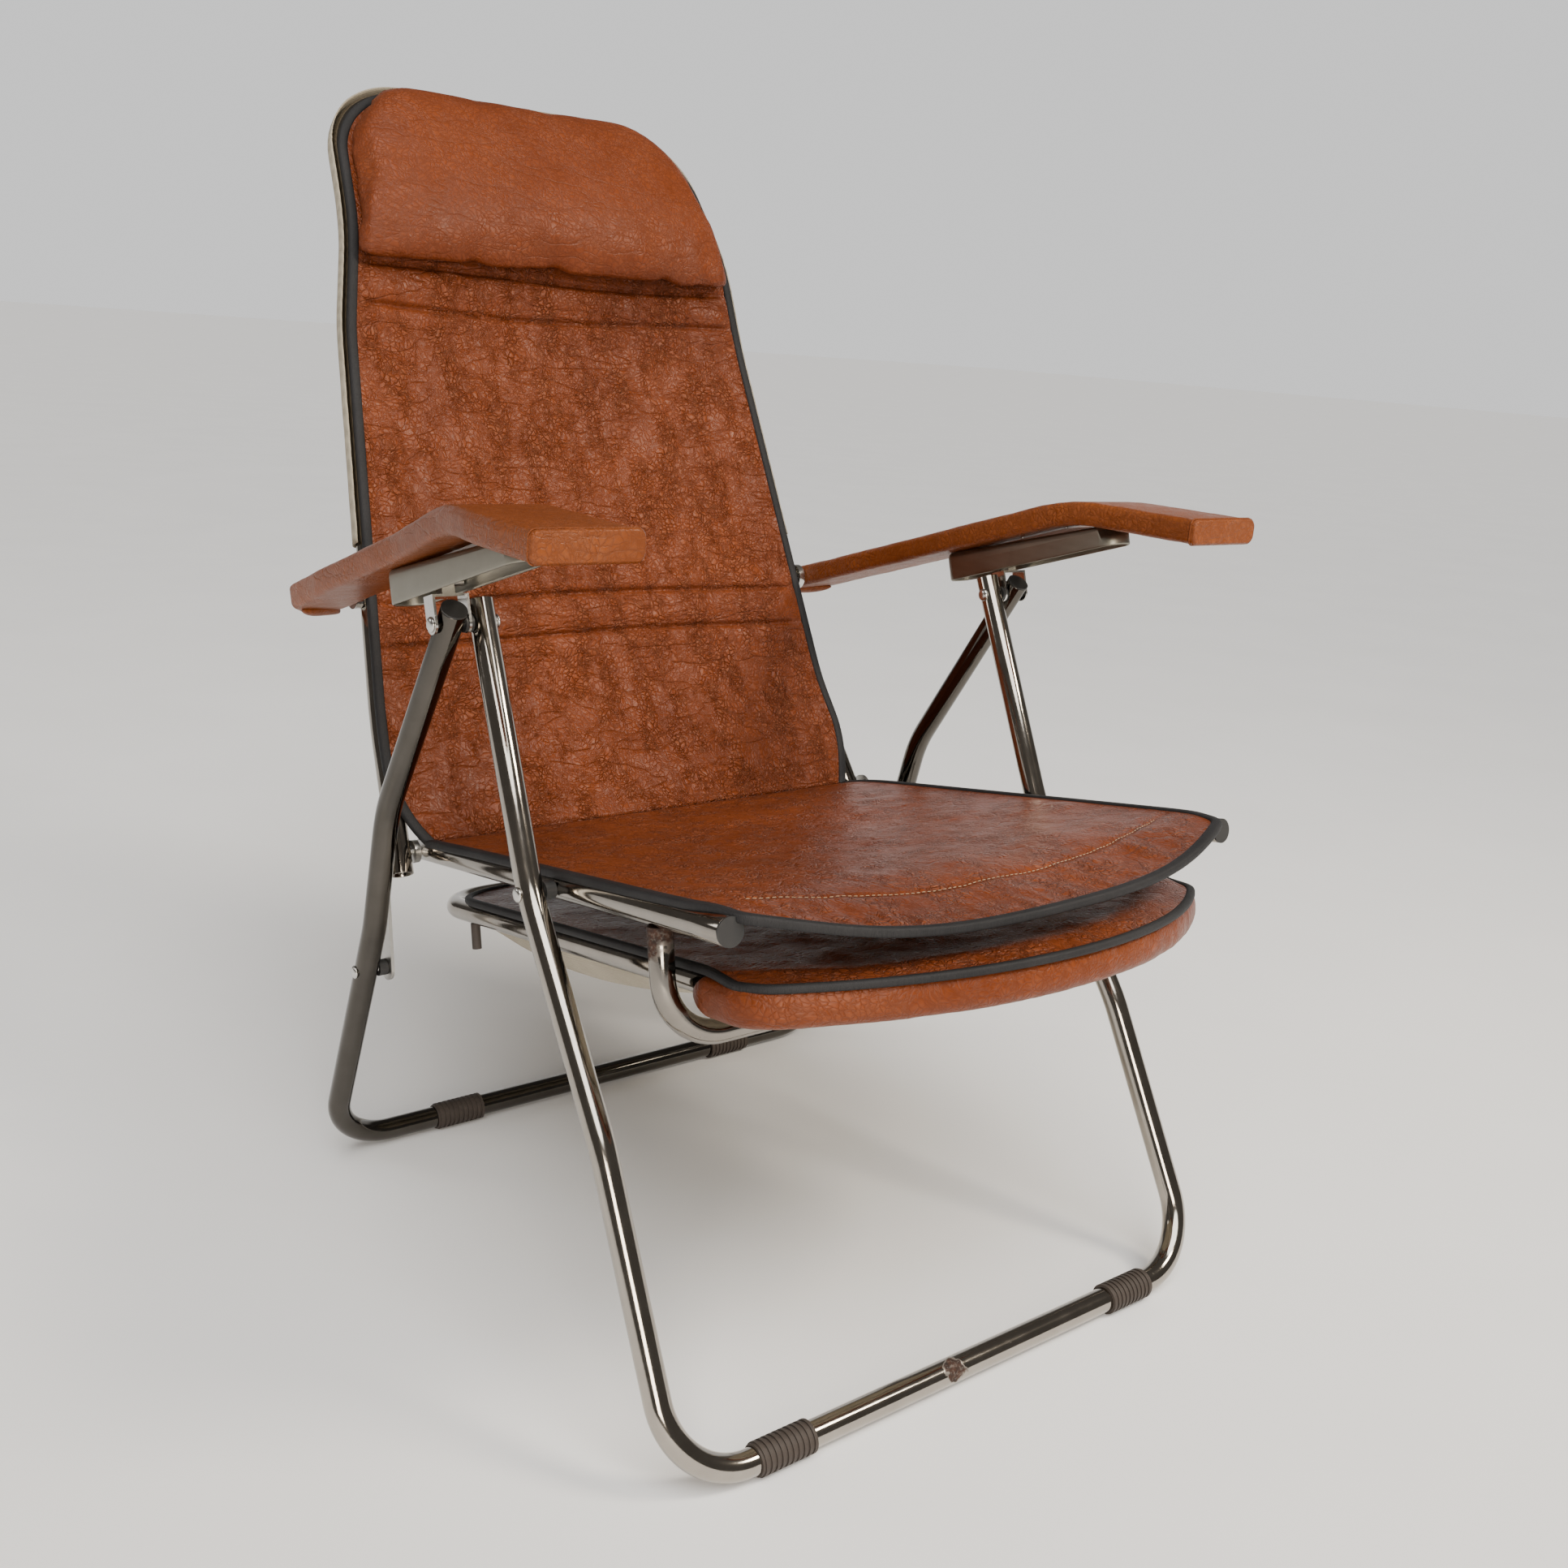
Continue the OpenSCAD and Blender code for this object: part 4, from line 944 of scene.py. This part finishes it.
def armrest(side):
    rings = []
    stations = [-26.0] + list(np.linspace(-24, ARM_END - 2, 150)) + [ARM_END - 0.8, ARM_END]
    for k, s in enumerate(stations):
        c, a = arm_line(s)
        x0, x1 = (np.interp(c[0], ARM_PLAN[:, 0], ARM_PLAN[:, j]) for j in (1, 2))
        t = ARM_T + 2.0 * smooth_step(60, -10, s)
        shrink = 3.0 if k == 0 else 0.0
        if s > ARM_END - 1.5:
            shrink = 1.2 * (s - ARM_END + 1.5) / 1.5
        ring = rounded_box(x0 + shrink, x1 - shrink, t - 2 * shrink, 5.5)
        pts = []
        for x, h in ring:
            puff = 0.9 * smooth_step(0, 14, min(x - x0, x1 - x)) * (1 if h > 0 else 0.3)
            wob = 0.55 * fuzz((x + 500 * side, s, h), 0.03, 1.0) + 0.22 * fuzz((x, s, h), 0.12, 4.0)
            edge_lift = 0.8 * groove(s, ARM_END - 3, 2.2)
            hh = h + math.copysign(puff + wob + edge_lift, h)
            p = c + np.array([math.sin(a), math.cos(a)]) * hh
            pts.append(arm_to_frame(side * x, p[0], p[1]))
        rings.append(np.array(pts))
    for q in (0.97, 0.6):
        c = rings[-1].mean(0)
        rings.append(c + (rings[-1] - c) * q)
    c = rings[0].mean(0)
    rear_dir = unit(rings[0].mean(0) - rings[3].mean(0))
    rings = [c + (rings[0] - c) * q + rear_dir * out for q, out in ((0.55, 0.0035), (0.86, 0.0024))] + rings
    body = loft("arm_body", rings, vinyl_arm_painted_light)
    # folded end of the wrap, under and behind the rear end
    fold = []
    for k in range(19):
        w = k / 18
        x = side * (254 + 40 * w)
        s = -22 + 20 * w - 3 * math.sin(math.pi * w)
        size = 6.5 * math.sin(math.pi * min(1, max(0.06, 0.08 + 0.9 * w))) ** 0.5
        centre = arm_to_frame(x, s, -ARM_T / 2 - 1.5 + 0.8 * math.sin(5 * w))
        up = unit(arm_to_frame(x, s, 1) - arm_to_frame(x, s, 0))
        fwd = unit(arm_to_frame(x, s + 1, 0) - arm_to_frame(x, s, 0))
        fold.append(ring_at(centre, up, fwd, size * 0.75 * MM, size * 1.5 * MM, 18))
    lobe = loft("arm_fold", fold, vinyl_arm_painted_light)
    # seam round the square front end
    c, a = arm_line(ARM_END - 5)
    path = []
    for x, h in rounded_box(264.5, 344.5, ARM_T + 1.6, 5.0, 9):
        q = c + np.array([math.sin(a), math.cos(a)]) * h
        path.append(arm_to_frame(side * x, q[0], q[1]))
    mid = np.mean(path, axis=0)
    ups = [unit(p - mid) for p in path]
    seam = band("arm_seam", path, ups, 1.6, 1.2, vinyl_arm_painted_light, 2.0, 8, True)
    name = "left" if side < 0 else "right"
    piece = join("armrest_pad_" + name, [body, lobe, seam])
    finish_piece(piece, "armrest_" + name, "brown_vinyl", "armrest_cover_" + name)


# ---- Channels under the armrests: pressed dishes with a rolled lip ----
def channel(side):
    x_mid, w, s0, s1, depth, wall = 289.0, 33.0, 200.0, 416.0, 27.0, 1.4
    top = -ARM_T / 2

    def outline(inset, h, follow=False):
        """The channel's plan, inset, at height h: flat, or following the curve of the armrest above it."""
        r = w / 2 - inset
        ring = []
        for centre, a0 in ((s1 - w / 2, 0), (s0 + w / 2, 180)):
            for k in range(17):
                a = math.radians(a0 - 90 + 180 * k / 16)
                s = centre + r * math.cos(a)
                drop = max(0.0, s - CURVE_START) ** 2 / (2 * CURVE_R) if follow else 0.0
                ring.append(arm_to_frame(side * (x_mid + r * math.sin(a)), s, h - drop))
        return np.array(ring)

    low = top - depth
    outside = [(9.0, top - 0.15), (5.0, top - 0.2), (2.2, top - 1.0), (0.8, top - 2.8), (0.2, top - 5.5)]
    walls = [(0.0, top - 12.5), (0.0, low + 4), (0.0, low + 1.6), (0.25, low + 0.5), (0.8, low),
             (1.3, low + 0.4), (wall, low + 1.6), (wall, top - 13.5)]
    inside = [(2.6, top - 6.0), (5.0, top - 3.2), (9.0, top - 2.2)]
    rings = [outline(i, h, True) for i, h in outside] + [outline(i, h) for i, h in walls]
    rings += [outline(i, h, True) for i, h in inside]
    name = "left" if side < 0 else "right"
    piece = loft("channel_" + name, rings, nickel)
    finish_piece(piece, "armrest_" + name, "channel_steel", "arm_channel_" + name)


for side in (-1, 1):
    armrest(side)
for side in (-1, 1):
    channel(side)


# ---- Footrest pad, its rolled front band, piping and the canvas under it ----
# The pad's front edge is an arc that stands ahead of the tube
FOOT_EDGE_X, FOOT_EDGE_D, FOOT_NOSE_D = 222.0, 465.0, 550.0
FOOT_ARC_R = (FOOT_EDGE_X ** 2 + (FOOT_NOSE_D - FOOT_EDGE_D) ** 2) / (2 * (FOOT_NOSE_D - FOOT_EDGE_D))
FOOT_TURN, FOOT_REAR_D, FOOT_REAR_R = 14.0, 34.0, 40.0


def foot_front(x):
    edge = FOOT_NOSE_D - FOOT_ARC_R + math.sqrt(FOOT_ARC_R ** 2 - x * x)
    return edge - FOOT_TURN * max(0.0, (abs(x) - FOOT_EDGE_X + FOOT_TURN) / FOOT_TURN) ** 2.4


def foot_rear(x):
    q = max(0.0, abs(x) - (FOOT_EDGE_X - FOOT_REAR_R))
    return FOOT_REAR_D + FOOT_REAR_R - math.sqrt(max(0.0, FOOT_REAR_R ** 2 - q * q))


def foot_surface(u, v):
    x = u * FOOT_EDGE_X
    d = foot_rear(x) + (foot_front(x) - foot_rear(x)) * v
    inside = (1 - u * u) * math.sin(math.pi * v) ** 0.6
    spot = (x + 77, d, 5)
    wrinkle = 1.6 * fuzz(spot, 0.02, 8.0) + 0.7 * fuzz(spot, 0.06, 1.0)
    wrinkle *= smooth_step(0, 0.08, 1 - abs(u))
    wrinkle *= smooth_step(0, 0.05, 1 - v)
    h = THIN_R + 3.8 - 2.5 * inside + wrinkle
    h -= 5.5 * smooth_step(foot_front(x) - 30, foot_front(x), d)
    return at(*foot_point(x, d, h))


fu = np.sin(np.linspace(-1, 1, 91) * math.pi / 2)
fv = np.linspace(0, 1, 91)
pad_rows = [[foot_surface(u, v) for v in fv] for u in fu]
pad_under = np.array(pad_rows) - seat_up3 * SHEET_T * MM
foot_pad = grid_shell("footrest_cover", pad_rows, pad_under, [vinyl, canvas])
finish_piece(foot_pad, "footrest", "brown_vinyl", "footrest_pad")

pipe = [(-1, v) for v in np.linspace(0, 1, 60)] + [(u, 1.0) for u in fu[1:-1]]
pipe += [(1, v) for v in np.linspace(1, 0, 60)] + [(u, 0.0) for u in fu[::-1][1:-1]]
pipe_path = smoothed([foot_surface(u, v) - seat_up3 * 1.4 * MM for u, v in pipe], 4, True)
pipe_path = pipe_path[spaced(pipe_path, 0.0025)]
pipe_up = [seat_up3] * len(pipe_path)
foot_binding = band("footrest_binding", pipe_path, pipe_up, 7.0, 6.5, binding, 2.6, 14, True)
finish_piece(foot_binding, "footrest", "brown_vinyl")

# The rolled band under the front edge, round the tube
roll_x = FOOT_EDGE_X - 1.0
roll_side = [(-roll_x, d) for d in np.linspace(400, FOOT_EDGE_D - FOOT_TURN, 14)[:-1]]
roll_plan = roll_side + [(x, foot_front(x)) for x in roll_x * np.sin(np.linspace(-1, 1, 120) * math.pi / 2)]
roll_plan += [(-x, d) for x, d in roll_side[::-1]]
roll_plan = smoothed(resample(roll_plan, 4.0), 6)
rings, count = [], len(roll_plan)
for k, ((x, d), (tx, td)) in enumerate(zip(roll_plan, tangents(roll_plan))):
    ahead = np.array([-td, tx])
    end = min(1.0, min(k, count - 1 - k) / 5.0)
    size = 0.6 + 0.4 * math.sin(end * math.pi / 2)
    side_x, side_d = np.array([x, d]) - ahead * (17.0 - 8.0 * ahead[0] ** 2)
    centre = at(*foot_point(side_x, side_d, -7.5))
    outward = at(*foot_point(side_x + ahead[0], side_d + ahead[1], -7.5)) - centre
    wob = 0.9 * fuzz((x, d, 0), 0.03, 3.0) + 0.5 * fuzz((x, d, 0), 0.11, 5.0)
    high, wide = 15.5 + 0.5 * wob, 17.5 - 1.5 * ahead[0] ** 2 + wob
    rings.append(ring_at(centre, seat_up3, unit(outward), high * size * MM, wide * size * MM, 34, 2.6))
foot_roll = loft("footrest_roll", rings, vinyl_band)
finish_piece(foot_roll, "footrest", "brown_vinyl")

# Canvas slung under the footrest, between its side tubes, from one distance along the rails to another
CANVAS_FROM, CANVAS_TO = 62, 430
cu, cv = np.linspace(-1, 1, 45), np.linspace(0, 1, 50)
canvas_rows = []
for u in cu:
    row = []
    for v in cv:
        d = CANVAS_FROM + (CANVAS_TO - CANVAS_FROM) * v
        x = u * (FOOT_X - 6.0)
        h = -6.0 - 44.0 * (1 - abs(u) ** 9) * math.sin(math.pi * (0.90 * v + 0.06) ** 0.62) ** 0.8
        h += 1.6 * fuzz((x, d, 3), 0.018, 2.0) * (1 - u * u)
        row.append(at(*foot_point(x, d, h)))
    canvas_rows.append(row)
under = np.array(canvas_rows) - seat_up3 * 1.6 * MM
foot_canvas = grid_shell("footrest_canvas", canvas_rows, under, [canvas, canvas])
finish_piece(foot_canvas, "footrest", "canvas_lining", "footrest_lining")


# ---- Stitches near the seat's front edge ----
def stitches(name, points, length, gap, body):
    p = resample(points, (length + gap) * MM)
    t, ups = carried_frames(p, [0, 0, 1])
    parts_v, parts_f = [], []
    for k in range(1, len(p) - 1):
        base = len(parts_v)
        for s, r in ((-0.5, 0.12), (-0.35, 0.32), (0.35, 0.32), (0.5, 0.12)):
            centre = p[k] + t[k] * s * length * MM
            parts_v += list(ring_at(centre, ups[k], np.cross(t[k], ups[k]), r * MM, r * MM, 6))
        for i in range(3):
            for j in range(6):
                o = base + 6 * i
                parts_f.append((o + j, o + (j + 1) % 6, o + 6 + (j + 1) % 6, o + 6 + j))
        parts_f += [tuple(base + j for j in range(6)), tuple(base + 18 + j for j in range(6))]
    return finish_piece(make(name, parts_v, parts_f, thread), body, "canvas_lining")


stitch_line = [seat_point(u, SEAT_SEAM_V, 0.9) for u in np.linspace(-0.86, 0.86, 120)]
stitches("seat_stitching", stitch_line, 3.0, 1.6, "seat")

# ---- The covers hide their CAD nodes and are baked in place, on no body ----
seat_pieces, back_pieces = [seat_sling, seat_binding], [back_sling, back_binding]


finish_piece(seat_sling, None, "brown_vinyl", "seat_cover", "seat_lining")
finish_piece(back_sling, None, "brown_vinyl", "back_cover")
finish_piece(back_pocket, "back", "canvas_lining", "back_lining")
for piece in seat_pieces:
    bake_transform(piece)
for piece in back_pieces:
    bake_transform(piece)

# ---- CAD nodes that keep their shape ----
kept = {
    rubber: "front_floor_sleeves rear_floor_sleeves footrest_stops",
    plastic: "top_pivot_spacers seat_pivot_spacers link_spacers rear_leg_caps seat_rail_caps",
    strip: "back_pivot_spacers link_left link_right catch_pin_left catch_pin_right"
           " notch_rack_left notch_rack_right",
    zinc: "link_stud_left link_stud_right stirrup_left stirrup_right arm_bolt_left arm_bolt_right"
          " arm_screws_left arm_screws_right",
    wood: "armrest_board_left armrest_board_right",
}
for material, nodes in kept.items():
    for node in nodes.split():
        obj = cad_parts[node]
        obj.data.materials.clear()
        obj.data.materials.append(material)
        if node.startswith(("link_left", "link_right", "stirrup")):
            soft = obj.modifiers.new("soft_edges", "BEVEL")
            soft.width, soft.segments, soft.limit_method = 0.5 * MM, 2, "ANGLE"

# ---- Floor, light and camera ----
paint = Mat("floor_pale")
floor_material = paint.shade(paint.ramp(paint.noise(3, 4), (0.3, 0.86), (0.7, 0.89)), 0.8)
floor_corners = [(-60, -60, 0), (60, -60, 0), (60, 60, 0), (-60, 60, 0)]
floor = make("floor", floor_corners, [(0, 1, 2, 3)], floor_material)
floor.location.z = -0.0004

YAW, PITCH, ROLL_ANGLE = (math.radians(a) for a in (38.515, -15.945, 4.358))

# The room is pale low down ahead of the camera and dim elsewhere, so that the chrome has dark streaks
sky = Mat("studio", "worlds")
bpy.context.scene.world = sky.owner
direction = sky.places["Generated"]
toward = sky.vector("DOT_PRODUCT", direction, (math.sin(YAW), math.cos(YAW), 0.0))["Value"]
facing = sky.ramp(toward, (0.62, 0.0), (0.80, 1.0))
low = sky.ramp(sky.node("ShaderNodeSeparateXYZ", Vector=direction).outputs["Z"], (0.24, 1.0), (0.42, 0.0))
tint = sky.mix(sky.mul(facing, low), (0.12, 0.11, 0.10), (0.92, 0.92, 0.92))
sky.node("ShaderNodeOutputWorld", Surface=sky.node("ShaderNodeBackground", Color=tint, Strength=1.0))


def lamp(name, kind, where, target, energy, colour=(1, 1, 1), size=1.0):
    light = bpy.data.lights.new(name, kind)
    light.energy, light.color = energy, colour
    if kind == "SUN":
        light.angle = size
    else:
        light.shape, light.size = "SQUARE", size
    obj = bpy.data.objects.new(name, light)
    bpy.context.scene.collection.objects.link(obj)
    obj.location = where
    obj.rotation_euler = (Vector(target) - Vector(where)).to_track_quat("-Z", "Y").to_euler()
    return obj


lamp("day", "SUN", (-1.0, -2.0, 4.0), (0, 0, 0), 3.3, (1.0, 0.98, 0.95), math.radians(50))
lamp("key", "AREA", (1.1, -1.5, 2.0), (0, 0.1, 0.55), 40, (1.0, 0.90, 0.76), 0.55)
lamp("front", "AREA", (-1.3, -2.4, 0.9), (0, 0, 0.4), 40, (1.0, 0.90, 0.78), 0.9)
lamp("rim", "AREA", (-2.4, 1.6, 1.6), (0, 0, 0.5), 8, (1.0, 0.97, 0.94), 0.8)

look = np.array([math.sin(YAW) * math.cos(PITCH), math.cos(YAW) * math.cos(PITCH), math.sin(PITCH)])
level = np.array([math.cos(YAW), -math.sin(YAW), 0.0])
upward = np.cross(level, look)
c, s = math.cos(ROLL_ANGLE), math.sin(ROLL_ANGLE)
right, up = c * level + s * upward, -s * level + c * upward
camera = bpy.data.cameras.new("camera")
camera.lens, camera.sensor_width = 35.78, 36.0
camera_obj = bpy.data.objects.new("camera", camera)
bpy.context.scene.collection.objects.link(camera_obj)
place = at(-787.3, -706.4, 764.2)
camera_obj.matrix_world = Matrix([[right[k], up[k], -look[k], place[k]] for k in range(3)] + [[0, 0, 0, 1]])
bpy.context.scene.camera = camera_obj
